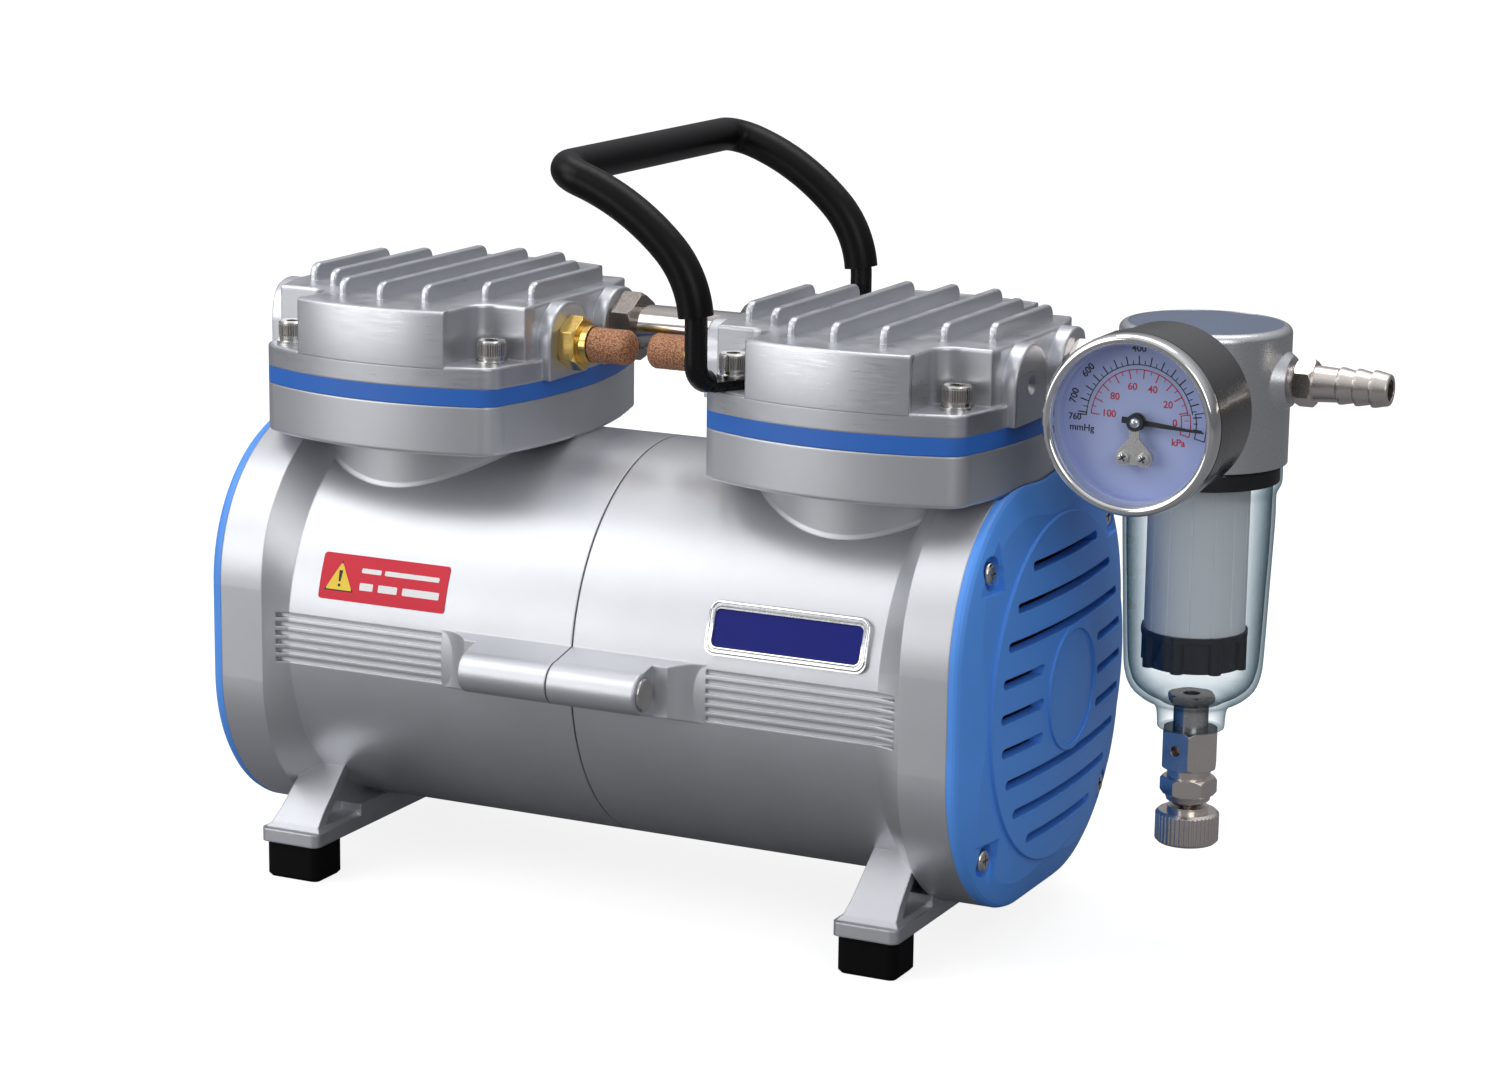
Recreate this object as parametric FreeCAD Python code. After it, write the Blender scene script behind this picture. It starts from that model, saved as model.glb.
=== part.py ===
import FreeCAD
import Part
import math
import os

# Twin-cylinder rocking-piston vacuum pump.  Millimetres, +Z up, X along the crankshaft,
# origin on the ground plane at the centre of the four feet, control side facing -Y.

V = FreeCAD.Vector

# ---- driving dimensions -------------------------------------------------------------
FOOT_X = 100.0            # half spacing of the feet along X
FOOT_Y = 57.0             # half spacing of the feet along Y
FOOT_H = 12.0             # rubber foot height
AXIS_Z = 78.7             # crankshaft height
BARREL_R = 63.0
CAVITY_R = 58.0
BARREL_X = 101.0          # end of the round barrel
RING_X0 = 109.4           # start of the squarish end ring
RING_X1 = 124.6           # joint face between ring and end cover
RING_HALF = 65.3          # half width of the ring outline
RING_CORNER = 50.6        # its corner radius
COVER_X1 = 136.8          # crown of the end cover
COVER_SPHERE = 330.0
SEAM = 0.25               # half of the visible gap between the two housings
HEAD_X = 77.3             # cylinder centres along X
DECK_Z0, DECK_Z1 = 141.0, 156.5
PLATE_Z1 = 161.9
LEDGE_Z = 168.6
TOP_Z = 185.4
FIN_Z = 190.8
NECK_R = 29.8
BORE_R = 22.0
SLEEVE_R = 24.5
THROW = 4.0
SHAFT_R = 7.5
FIT = 0.05                # radial running clearance
PORT_Y = 17.6
PORT_Z = 173.0
BOSS_X = 51.5             # port boss face from the cylinder centre
SCREWS = ((38.6, -43.3), (-33.8, -42.6), (33.8, 42.6), (-38.6, 43.3))
FILTER_X, FILTER_Y = 169.4, 17.6
FILTER_R = 25.6
DRAIN_TURN = -13.5        # degrees the drain hexagon is turned from square
BARB_Z = 174.6
SWITCH_X = 80.0           # rear switch on the right half, cable entry on the left half
ROCKER_TILT = 7.0         # degrees each side of level
GAUGE_Z = 169.2
GAUGE_FRONT = -47.2
GAUGE_R = 26.3
POINTER_REST = -4.0       # degrees above the +X direction at zero vacuum
NOSE_Y, NOSE_Z = -72.6, AXIS_Z + 0.5    # centre line of the front tie boss
NOSE_R = 6.5
HX, HY = 38.9, 58.2       # handle arm position
ROD_R, GRIP_R = 3.4, 5.3
KNEE_Z = 188.5            # where the handle arms start to lean
LOW_BEND, HIGH_BEND, CORNER = 32.0, 75.0, 8.0
ARM_END = math.radians(71.4)

os.makedirs("parts", exist_ok=True)


# ---- small helpers --------------------------------------------------------------------
def box(x0, x1, y0, y1, z0, z1):
    return Part.makeBox(x1 - x0, y1 - y0, z1 - z0, V(x0, y0, z0))


def cyl_x(x0, x1, y, z, r):
    return Part.makeCylinder(r, x1 - x0, V(x0, y, z), V(1, 0, 0))


def cyl_y(y0, y1, x, z, r):
    return Part.makeCylinder(r, y1 - y0, V(x, y0, z), V(0, 1, 0))


def cyl_z(z0, z1, x, y, r):
    return Part.makeCylinder(r, z1 - z0, V(x, y, z0), V(0, 0, 1))


def tube_x(x0, x1, y, z, r, bore):
    return cyl_x(x0, x1, y, z, r).cut(cyl_x(x0 - 1, x1 + 1, y, z, bore))


def tube_y(y0, y1, x, z, r, bore):
    return cyl_y(y0, y1, x, z, r).cut(cyl_y(y0 - 1, y1 + 1, x, z, bore))


def tube_z(z0, z1, x, y, r, bore):
    return cyl_z(z0, z1, x, y, r).cut(cyl_z(z0 - 1, z1 + 1, x, y, bore))


def fuse(shapes):
    body = shapes[0]
    if len(shapes) > 1:
        body = body.multiFuse(shapes[1:])
    return body.removeSplitter()


def hex_prism(length, flats, chamfer=0.6):
    """Chamfered hexagon standing on Z = 0."""
    r = flats / math.sqrt(3.0)
    points = []
    for i in range(7):
        a = math.radians(60.0 * i)
        points.append(V(r * math.cos(a), r * math.sin(a), 0))
    body = Part.Face(Part.makePolygon(points)).extrude(V(0, 0, length))
    top = Part.makeCone(r + length, r - chamfer, length + chamfer, V(0, 0, -chamfer), V(0, 0, 1))
    low = Part.makeCone(r - chamfer, r + length, length + chamfer, V(0, 0, 0), V(0, 0, 1))
    return body.common(top).common(low)


def aim(shape, origin, axis):
    """Turn a shape built along +Z onto the given axis and origin."""
    turned = shape.copy()
    turned.Placement = FreeCAD.Placement(V(*origin), FreeCAD.Rotation(V(0, 0, 1), V(*axis)))
    return turned


def revolve_z(profile, x, y):
    """Solid of revolution about a vertical axis from (radius, z) points."""
    points = [V(r, 0, z) for r, z in profile]
    points.append(points[0])
    face = Part.Face(Part.makePolygon(points))
    body = face.revolve(V(0, 0, 0), V(0, 0, 1), 360)
    body.translate(V(x, y, 0))
    return body


def revolve_to(profile, origin, axis):
    points = [V(r, 0, z) for r, z in profile]
    points.append(points[0])
    body = Part.Face(Part.makePolygon(points)).revolve(V(0, 0, 0), V(0, 0, 1), 360)
    return aim(body, origin, axis)


def upright(shape, least=5.0):
    """Edges taller than the given height."""
    return [e for e in shape.Edges if e.BoundBox.ZLength > least]


def level(shape, z):
    """Edges lying flat at one height."""
    return [e for e in shape.Edges if abs(e.BoundBox.ZMin - z) < 0.01 and e.BoundBox.ZLength < 0.01]


def mirror_x(shape):
    return shape.mirror(V(0, 0, 0), V(1, 0, 0))


def cap_screw(x, y, z, thread_r, length, head_r, head_h, socket):
    """Socket head screw pointing down, head seat at z."""
    head = cyl_z(z, z + head_h, x, y, head_r)
    head = head.makeChamfer(0.4, [head.Edges[0]])
    shank = cyl_z(z - length, z + 0.1, x, y, thread_r)
    recess = hex_prism(head_h, socket, 0.01)
    recess.translate(V(x, y, z + head_h * 0.45))
    return fuse([head, shank]).cut(recess)


def cross_screw(thread_r, length, head_r, head_h):
    """Pan head screw with a cross recess, standing on Z = 0 and pointing down."""
    head = cyl_z(0, head_h, 0, 0, head_r)
    head = head.makeFillet(head_h * 0.45, level(head, head_h))
    reach, half = head_r * 0.55, head_r * 0.11
    body = fuse([head, cyl_z(-length, 0.1, 0, 0, thread_r)])
    body = body.cut(box(-reach, reach, -half, half, head_h * 0.5, head_h + 1))
    return body.cut(box(-half, half, -reach, reach, head_h * 0.5, head_h + 1))


# ---- end ring outline -------------------------------------------------------------------
def ring_wire(x, half, corner):
    """Rounded square in the YZ plane centred on the crankshaft axis."""
    s = half - corner
    k = corner * math.sqrt(0.5)
    flat = [((half, -s), (half, s)), ((s, half), (-s, half)),
            ((-half, s), (-half, -s)), ((-s, -half), (s, -half))]
    mids = [(s + k, s + k), (-s - k, s + k), (-s - k, -s - k), (s + k, -s - k)]
    edges = []
    for i in range(4):
        a, b = flat[i]
        c = flat[(i + 1) % 4][0]
        pa = V(x, a[0], AXIS_Z + a[1])
        pb = V(x, b[0], AXIS_Z + b[1])
        pm = V(x, mids[i][0], AXIS_Z + mids[i][1])
        pc = V(x, c[0], AXIS_Z + c[1])
        edges.append(Part.makeLine(pa, pb))
        edges.append(Part.Arc(pb, pm, pc).toShape())
    return Part.Wire(edges)


def circle_wire(x, r, half, corner):
    """Circle split at the same bearings as the rounded square."""
    s = half - corner
    t = math.atan2(s, half)
    starts = []
    for i in range(4):
        starts.append(i * math.pi / 2 - t)
        starts.append(i * math.pi / 2 + t)
    starts.append(2 * math.pi - t)
    edges = []
    for i in range(8):
        a, b = starts[i], starts[i + 1]
        pts = [V(x, r * math.cos(q), AXIS_Z + r * math.sin(q)) for q in (a, (a + b) / 2, b)]
        edges.append(Part.Arc(*pts).toShape())
    return Part.Wire(edges)


def ring_prism(x0, x1, half, corner):
    return Part.Face(ring_wire(x0, half, corner)).extrude(V(x1 - x0, 0, 0))


# ---- head outline -------------------------------------------------------------------------
def head_wire(z, inset=0.0):
    """Bulged plan outline shared by deck, valve plate and head (half-turn symmetric)."""
    half = [(-36.8, -49.7), (2.0, -59.6), (38.8, -54.0), (43.2, -51.4), (45.0, -46.8),
            (50.5, -3.0), (42.4, 41.5), (40.5, 46.4), (36.8, 49.7)]
    if inset:
        moved = []
        for px, py in half:
            r = math.hypot(px, py)
            moved.append((px * (r - inset) / r, py * (r - inset) / r))
        half = moved
    edges = []
    for sign in (1, -1):
        p = [V(HEAD_X + sign * q[0], sign * q[1], z) for q in half]
        for i in (0, 2, 4, 6):
            edges.append(Part.Arc(p[i], p[i + 1], p[i + 2]).toShape())
    return Part.Wire(edges)


def head_prism(z0, z1, inset=0.0):
    return Part.Face(head_wire(z0, inset)).extrude(V(0, 0, z1 - z0))


def soft_prism(z0, z1, low=0.0, high=0.0):
    """Head outline with rounded corners and, where asked, rounded lower and upper edges."""
    body = head_prism(z0, z1)
    body = body.makeFillet(3.0, upright(body))
    if low:
        body = body.makeFillet(low, level(body, z0))
    if high:
        body = body.makeFillet(high, level(body, z1))
    return body


# ---- housings ---------------------------------------------------------------------------
def leg(side):
    """Foot pad with the sloping plate and web that join it to the barrel."""
    y_out, y_in = side * 66.3, side * 30.0
    pad = box(FOOT_X - 10.6, FOOT_X + 10.6, min(y_out, y_in), max(y_out, y_in), FOOT_H, 16.2)
    pad = pad.makeFillet(2.5, [e for e in pad.Edges if e.BoundBox.ZLength > 1
                               and abs(e.BoundBox.YMin - y_out) < 0.01])
    levels = ((16.2, 10.0, 64.0), (17.6, 8.6, 62.2), (21.0, 7.9, 58.2), (35.0, 7.0, 42.0))
    pieces = [pad]
    for (z0, w0, y0), (z1, w1, y1) in zip(levels[:-1], levels[1:]):
        wires = []
        for z, hw, yo in ((z0, w0, y0), (z1, w1, y1)):
            pts = [V(FOOT_X - hw, side * yo, z), V(FOOT_X + hw, side * yo, z),
                   V(FOOT_X + hw, side * 24.0, z), V(FOOT_X - hw, side * 24.0, z)]
            wires.append(Part.makePolygon(pts + [pts[0]]))
        pieces.append(Part.makeLoft(wires, True, True))
    foot = fuse(pieces)
    recess = [V(0, side * 57.6, 17.4), V(0, side * 38.0, 34.6), V(0, side * 20.0, 34.6),
              V(0, side * 20.0, 17.4)]
    tri = Part.Face(Part.makePolygon(recess + [recess[0]])).extrude(V(20, 0, 0))
    for x in (FOOT_X + 3.4, FOOT_X - 23.4):
        cut = tri.copy()
        cut.translate(V(x, 0, 0))
        foot = foot.cut(cut)
    return foot


def rib_grooves(x0, x1):
    """Grooves that leave fine raised ribs beside the tie boss."""
    cuts = []
    for i in range(6):
        z = 85.8 - i * 2.85
        y = -math.sqrt(BARREL_R ** 2 - (z - AXIS_Z) ** 2)
        cuts.append(box(x0, x1, y - 3.0, y + 0.8, z - 0.75, z + 0.75))
    return cuts


def housing():
    """Right-hand half housing: barrel, end ring, neck, deck, legs and bearing web."""
    outer = cyl_x(SEAM, BARREL_X, 0, AXIS_Z, BARREL_R)
    neck = cyl_z(AXIS_Z + 40, DECK_Z0 + 1, HEAD_X, 0, NECK_R)
    flare = Part.makeLoft([circle_wire(BARREL_X, BARREL_R, RING_HALF, RING_CORNER),
                           ring_wire(RING_X0, RING_HALF, RING_CORNER)], True, True)
    ring = ring_prism(RING_X0, RING_X1, RING_HALF, RING_CORNER)
    deck = soft_prism(DECK_Z0, DECK_Z1, 1.2, 0.5)
    bar = box(FOOT_X - 10.6, FOOT_X + 10.6, -40, 40, FOOT_H, 20.0)
    body = fuse([outer, flare, ring, neck, deck, bar, leg(-1), leg(1)])
    cavity = cyl_x(-1, RING_X1 + 1, 0, AXIS_Z, CAVITY_R)
    body = body.cut(cavity)
    # bearing web with cooling windows
    web = cyl_x(43.0, 48.0, 0, AXIS_Z, CAVITY_R + 1.0).fuse(cyl_x(43.0, 58.0, 0, AXIS_Z, 24.0))
    web = web.cut(cyl_x(47.0, 59.0, 0, AXIS_Z, 17.5)).cut(cyl_x(42, 48, 0, AXIS_Z, 11.0))
    for i in range(6):
        a = math.radians(60 * i + 30)
        web = web.cut(cyl_x(42, 49, 41 * math.cos(a), AXIS_Z + 41 * math.sin(a), 11.0))
    body = body.fuse(web)
    return body.cut(cyl_z(AXIS_Z + 30, DECK_Z1 + 1, HEAD_X, 0, SLEEVE_R))


def tie_boss_front(body, x_end, rib_end):
    """Half-round tie-bolt boss across the joint, scooped into the barrel at its end."""
    profile = [V(SEAM, -55, 88.0), V(SEAM, -62.3, 88.0), V(SEAM, NOSE_Y, NOSE_Z + NOSE_R),
               V(SEAM, NOSE_Y, NOSE_Z - NOSE_R), V(SEAM, -62.3, 69.8), V(SEAM, -55, 69.8),
               V(SEAM, -55, 88.0)]
    wedge = Part.Face(Part.makePolygon(profile)).extrude(V(45.5 - SEAM, 0, 0))
    scoop = cyl_z(60, 100, 45.5, -76.4, 14.0).fuse(box(45.4, 60, -90, -50, 60, 100))
    wedge = wedge.cut(scoop).cut(box(x_end, 60, -90, NOSE_Y + 5.5, 60, 100))
    nose = cyl_x(SEAM, x_end, NOSE_Y, NOSE_Z, NOSE_R)
    nose = nose.makeFillet(0.8, [e for e in nose.Edges if e.BoundBox.XMin > x_end - 0.01])
    boss = wedge.fuse(nose).cut(cyl_x(-1, 60, 0, AXIS_Z, CAVITY_R + 1.0))
    body = body.fuse(boss)
    body = body.cut(cyl_x(-1, x_end + 1, NOSE_Y, NOSE_Z, 2.1))
    body = body.cut(cyl_x(x_end - 1.0, x_end + 1, NOSE_Y, NOSE_Z, 5.1))
    for cut in rib_grooves(45.6, rib_end):
        body = body.cut(cut)
    return body.removeSplitter()


def screw_holes(body):
    for dx, dy in SCREWS:
        body = body.cut(cyl_z(DECK_Z1 - 13.0, DECK_Z1 + 1, HEAD_X + dx, dy, 2.5))
    for sy in (-1, 1):
        for sz in (-1, 1):
            body = body.cut(cyl_x(RING_X1 - 12, RING_X1 + 1, sy * 46.5, AXIS_Z + sz * 43.2, 2.0))
        body = body.cut(cyl_z(FOOT_H - 1, FOOT_H + 5.0, FOOT_X, sy * FOOT_Y, 2.5))
    return body


def rear_features(body, right):
    """Rear wall: switch opening on the right half, cable entry on the left half."""
    pad = box(SWITCH_X - 18, SWITCH_X + 18, 56.0, 64.0, AXIS_Z - 11.0, AXIS_Z + 11.0)
    pad = pad.cut(cyl_x(50, 110, 0, AXIS_Z, CAVITY_R + 1.0))
    body = body.fuse(pad).removeSplitter()
    if right:
        body = body.cut(box(SWITCH_X - 14.0, SWITCH_X + 14.0, 50.0, 66.0, AXIS_Z - 6.5, AXIS_Z + 6.5))
    else:
        body = body.cut(cyl_y(50, 66, SWITCH_X, AXIS_Z, 6.0))
    return body


def shift_half_turn(shape):
    """Copy made for the left cylinder (heads are not mirrored)."""
    moved = shape.copy()
    moved.translate(V(-2 * HEAD_X, 0, 0))
    return moved


def make_housings():
    body = housing()
    right = screw_holes(tie_boss_front(body, 29.8, 107.6))
    right = rear_features(right, True)
    # left half: mirror the barrel, then replace the mirrored deck by a shifted one
    left = mirror_x(tie_boss_front(body, 30.6, 105.2))
    deck_box = box(-HEAD_X - 62, -HEAD_X + 62, -62, 62, DECK_Z0, DECK_Z1 + 1)
    left = left.cut(deck_box)
    deck = shift_half_turn(soft_prism(DECK_Z0, DECK_Z1, 1.2, 0.5))
    deck = deck.cut(cyl_z(DECK_Z0 - 1, DECK_Z1 + 1, -HEAD_X, 0, SLEEVE_R))
    left = left.fuse(deck).removeSplitter()
    holes = mirror_x(screw_holes(mirror_x(left)))
    for dx, dy in SCREWS:
        holes = holes.cut(cyl_z(DECK_Z1 - 13.0, DECK_Z1 + 1, -HEAD_X + dx, dy, 2.5))
    left = mirror_x(rear_features(mirror_x(holes), False))
    return left, right


# ---- end covers ---------------------------------------------------------------------------
def end_cover():
    body = ring_prism(RING_X1, COVER_X1 + 1, RING_HALF, RING_CORNER)
    cx = COVER_X1 - COVER_SPHERE
    body = body.common(Part.makeSphere(COVER_SPHERE, V(cx, 0, AXIS_Z)))
    round_off = []
    steps = ((1.6, 0.0), (2.6, 0.35), (3.5, 1.2), (4.1, 2.4), (12.0, 22.0))
    for (h0, in0), (h1, in1) in zip(steps[:-1], steps[1:]):
        a = ring_wire(RING_X1 + h0, RING_HALF - in0, RING_CORNER - in0)
        b = ring_wire(RING_X1 + h1, RING_HALF - in1, RING_CORNER - in1)
        round_off.append(Part.makeLoft([a, b], True, True))
    round_off.append(ring_prism(RING_X1, RING_X1 + 1.6, RING_HALF, RING_CORNER))
    body = body.common(fuse(round_off))
    hollow = cyl_x(RING_X1 - 1, COVER_X1 + 1, 0, AXIS_Z, CAVITY_R)
    hollow = hollow.common(Part.makeSphere(COVER_SPHERE - 3.0, V(cx, 0, AXIS_Z)))
    body = body.cut(hollow)
    # raised grille disc with a step round it
    rise = cyl_x(RING_X1, COVER_X1 + 3, 0, AXIS_Z, 53.0)
    shell = Part.makeSphere(COVER_SPHERE + 1.1, V(cx, 0, AXIS_Z))
    under = Part.makeSphere(COVER_SPHERE - 1.5, V(cx, 0, AXIS_Z))
    disc = rise.common(shell).cut(under)
    body = body.fuse(disc)
    logo = tube_x(COVER_X1 - 4, COVER_X1 + 4, 0, AXIS_Z, 19.2, 17.8)
    logo = logo.common(Part.makeSphere(COVER_SPHERE + 1.9, V(cx, 0, AXIS_Z)))
    body = body.fuse(logo.cut(Part.makeSphere(COVER_SPHERE - 1.0, V(cx, 0, AXIS_Z))))
    for i in range(-4, 5):
        z = AXIS_Z + 10.4 * i
        half = math.sqrt(50.0 ** 2 - (10.4 * i) ** 2) - 2.0
        spans = [(-half, half)]
        if abs(i) <= 1:
            spans = [(-half, -21.5), (21.5, half)]
        for y0, y1 in spans:
            slot = box(RING_X1 - 1, COVER_X1 + 4, y0 + 1.5, y1 - 1.5, z - 1.5, z + 1.5)
            slot = slot.fuse(cyl_x(RING_X1 - 1, COVER_X1 + 4, y0 + 1.5, z, 1.5))
            slot = slot.fuse(cyl_x(RING_X1 - 1, COVER_X1 + 4, y1 - 1.5, z, 1.5))
            body = body.cut(slot)
    for sy in (-1, 1):
        for sz in (-1, 1):
            y, z = sy * 46.5, AXIS_Z + sz * 43.2
            y0, y1 = sorted((sy * 41.5, sy * 80.0))
            z0, z1 = sorted((sz * 37.5, sz * 80.0))
            body = body.cut(box(RING_X1 + 5.0, COVER_X1 + 4, y0, y1, AXIS_Z + z0, AXIS_Z + z1))
            body = body.cut(cyl_x(RING_X1 + 2.6, COVER_X1 + 4, y, z, 5.2))
            body = body.cut(cyl_x(RING_X1 - 1, COVER_X1, y, z, 2.2))
    return body


def cover_screws():
    out = []
    for side in (-1, 1):
        for sy in (-1, 1):
            for sz in (-1, 1):
                screw = cross_screw(1.95, 12.5, 3.6, 2.8)
                out.append(aim(screw, (side * (RING_X1 + 2.6), sy * 46.5, AXIS_Z + sz * 43.2),
                               (side, 0, 0)))
    return Part.makeCompound(out)


# ---- heads --------------------------------------------------------------------------------
def valve_plate():
    body = soft_prism(DECK_Z1, PLATE_Z1)
    for dx, dy in SCREWS:
        body = body.cut(cyl_z(DECK_Z1 - 1, PLATE_Z1 + 1, HEAD_X + dx, dy, 2.8))
    for s in (-1, 1):
        for dx in (-9.0, 9.0):
            body = body.cut(cyl_z(DECK_Z1 - 1, PLATE_Z1 + 1, HEAD_X + dx, s * 9.5, 2.6))
    return body


def reeds():
    """Suction reed below the plate and delivery reed above it, for both cylinders."""
    out = []
    for cx in (-HEAD_X, HEAD_X):
        out.append(box(cx - 14, cx + 14, 6.0, 13.0, PLATE_Z1, PLATE_Z1 + 0.4))
        out.append(box(cx - 14, cx + 14, -13.0, -6.0, DECK_Z1 - 0.4, DECK_Z1))
    return Part.makeCompound(out)


def port_boss(sx, sy, face=BOSS_X):
    """Arch-topped boss on the side of a head, running down to the valve plate."""
    x0, x1 = sorted((HEAD_X + sx * 36.0, HEAD_X + sx * face))
    arch = cyl_x(x0, x1, sy * PORT_Y, PORT_Z, 12.2)
    stand = box(x0, x1, sy * PORT_Y - 12.2, sy * PORT_Y + 12.2, PLATE_Z1, PORT_Z)
    boss = arch.fuse(stand).removeSplitter()
    rim = [e for e in boss.Edges if abs(e.BoundBox.XMin - HEAD_X - sx * face) < 0.01
           and e.BoundBox.XLength < 0.01 and e.BoundBox.ZMax > PLATE_Z1 + 1]
    return boss.makeFillet(0.8, rim)


def head_body():
    low = soft_prism(PLATE_Z1, LEDGE_Z, 0.0, 0.8)
    up = head_prism(LEDGE_Z - 0.5, TOP_Z, 1.6)
    side = box(HEAD_X - 47.0, HEAD_X + 47.0, -62, 62, LEDGE_Z - 1, TOP_Z + 1)
    up = up.common(side)
    corner = [(29.4, 62.0, -62.0, -36.0), (-62.0, -24.0, -62.0, -35.0),
              (-62.0, -29.4, 36.0, 62.0), (24.0, 62.0, 35.0, 62.0)]
    for x0, x1, y0, y1 in corner:
        pocket = box(HEAD_X + x0, HEAD_X + x1, y0, y1, LEDGE_Z, TOP_Z + 1)
        edges = [e for e in pocket.Edges if e.BoundBox.ZLength > 5]
        inner = [e for e in edges
                 if abs(e.BoundBox.XMin - HEAD_X) < 40 and abs(e.BoundBox.YMin) < 40]
        up = up.cut(pocket.makeFillet(7.0, inner))
    up = up.removeSplitter()
    up = up.makeFillet(1.0, level(up, TOP_Z))
    body = low.fuse(up)
    for sx in (-1, 1):
        for sy in (-1, 1):
            body = body.fuse(port_boss(sx, sy))
    body = body.common(head_prism(PLATE_Z1, TOP_Z, -4.0)).removeSplitter()
    body = body.cut(box(HEAD_X - 20, HEAD_X + 20, -30, -2.5, PLATE_Z1 - 1, PLATE_Z1 + 12))
    body = body.cut(box(HEAD_X - 20, HEAD_X + 20, 2.5, 30, PLATE_Z1 - 1, PLATE_Z1 + 12))
    fins = []
    for dx, half in ((-38.9, 22.7), (-27.0, 30.0), (-14.6, 44.3), (0.0, 46.0), (15.1, 44.3),
                     (28.1, 30.0), (40.5, 22.7)):
        x = HEAD_X + dx
        fin = box(x - 1.3, x + 1.3, -half, half, TOP_Z - 1, FIN_Z)
        ends = [e for e in fin.Edges if e.BoundBox.XLength > 2 and e.BoundBox.ZMin > FIN_Z - 0.1]
        fin = fin.makeFillet(3.6, ends)
        crown = [e for e in fin.Edges if e.BoundBox.ZMax > FIN_Z - 0.01 and e.BoundBox.YLength > 2]
        fins.append(fin.makeFillet(0.8, crown))
    body = fuse([body] + fins)
    for dx, dy in SCREWS:
        body = body.cut(cyl_z(PLATE_Z1 - 1, LEDGE_Z + 1, HEAD_X + dx, dy, 2.8))
        body = body.cut(cyl_z(LEDGE_Z, TOP_Z + 8, HEAD_X + dx, dy, 5.6))
    return body


def bore_ports(head, right):
    """Tapped ports: pipe and silencer on the inner face, filter nipple on the right head."""
    cx = HEAD_X if right else -HEAD_X
    if right:
        head = head.cut(cyl_x(cx - BOSS_X - 1, cx - 12, PORT_Y, PORT_Z, 5.0))
        head = head.cut(cyl_x(cx - BOSS_X - 1, cx - BOSS_X + 7.2, PORT_Y, PORT_Z, 7.25))
        head = head.cut(cyl_x(cx - BOSS_X - 1, cx - 12, -PORT_Y, PORT_Z - 0.6, 4.5))
        head = head.cut(cyl_x(cx + 12, cx + BOSS_X + 1, PORT_Y, PORT_Z, 6.0))
        head = head.cut(Part.makeCone(0.5, 3.0, 2.0, V(cx + BOSS_X - 2, -PORT_Y, PORT_Z), V(1, 0, 0)))
    else:
        head = head.cut(cyl_x(cx + 12, cx + BOSS_X + 1, PORT_Y, PORT_Z, 5.0))
        head = head.cut(cyl_x(cx + BOSS_X - 7.2, cx + BOSS_X + 1, PORT_Y, PORT_Z, 7.25))
        head = head.cut(cyl_x(cx + 12, cx + BOSS_X + 1, -PORT_Y, PORT_Z - 0.6, 4.5))
        for sy in (-1, 1):
            head = head.cut(Part.makeCone(3.0, 0.5, 2.0, V(cx - BOSS_X, sy * PORT_Y, PORT_Z),
                                          V(1, 0, 0)))
    return head


def head_fasteners():
    """Cap screws, each on a spring washer and a plain washer."""
    out = []
    for cx in (-HEAD_X, HEAD_X):
        for dx, dy in SCREWS:
            lift = 3.0 if cx > 0 and dx < 0 else 0.0
            z = LEDGE_Z + lift
            out.append(tube_z(z, z + 1.0, cx + dx, dy, 5.0, 2.7))
            out.append(tube_z(z + 1.0, z + 2.2, cx + dx, dy, 4.1, 2.7))
            out.append(cap_screw(cx + dx, dy, z + 2.2, 2.5, 22.0 + lift, 4.3, 5.0, 4.0))
    return Part.makeCompound(out)


# ---- handle -------------------------------------------------------------------------------
def handle_path(z0):
    """Centre line: up the front arm in two arcs, along the grip and down the rear arm."""
    q = math.sqrt(0.5)
    c1x = HX - LOW_BEND
    p1 = V(c1x + LOW_BEND * q, 0, KNEE_Z + LOW_BEND * q)
    c2 = V(p1.x - HIGH_BEND * q, 0, p1.z - HIGH_BEND * q)
    m1 = V(c1x + LOW_BEND * math.cos(math.pi / 8), 0, KNEE_Z + LOW_BEND * math.sin(math.pi / 8))
    mid = (math.pi / 4 + ARM_END) / 2
    m2 = V(c2.x + HIGH_BEND * math.cos(mid), 0, c2.z + HIGH_BEND * math.sin(mid))
    p2 = V(c2.x + HIGH_BEND * math.cos(ARM_END), 0, c2.z + HIGH_BEND * math.sin(ARM_END))
    t = V(-math.sin(ARM_END), 0, math.cos(ARM_END))
    end = V(p2.x + CORNER * t.x, 0, p2.z + CORNER * t.z)
    m3 = V(p2.x + CORNER * q * t.x, CORNER * (1 - q), p2.z + CORNER * q * t.z)

    def at(p, s, dy=0.0):
        return V(p.x, s * (HY - dy), p.z)

    knee, foot = V(HX, 0, KNEE_Z), V(HX, 0, z0)
    edges = [Part.makeLine(at(foot, -1), at(knee, -1)),
             Part.Arc(at(knee, -1), at(m1, -1), at(p1, -1)).toShape(),
             Part.Arc(at(p1, -1), at(m2, -1), at(p2, -1)).toShape(),
             Part.Arc(at(p2, -1), at(m3, -1, m3.y), at(end, -1, CORNER)).toShape(),
             Part.makeLine(at(end, -1, CORNER), at(end, 1, CORNER)),
             Part.Arc(at(end, 1, CORNER), at(m3, 1, m3.y), at(p2, 1)).toShape(),
             Part.Arc(at(p2, 1), at(m2, 1), at(p1, 1)).toShape(),
             Part.Arc(at(p1, 1), at(m1, 1), at(knee, 1)).toShape(),
             Part.makeLine(at(knee, 1), at(foot, 1))]
    return Part.Wire(edges)


def sweep(wire, start, axis, r):
    circle = Part.Wire([Part.makeCircle(r, V(*start), V(*axis))])
    return wire.makePipeShell([circle], True, False)


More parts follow.
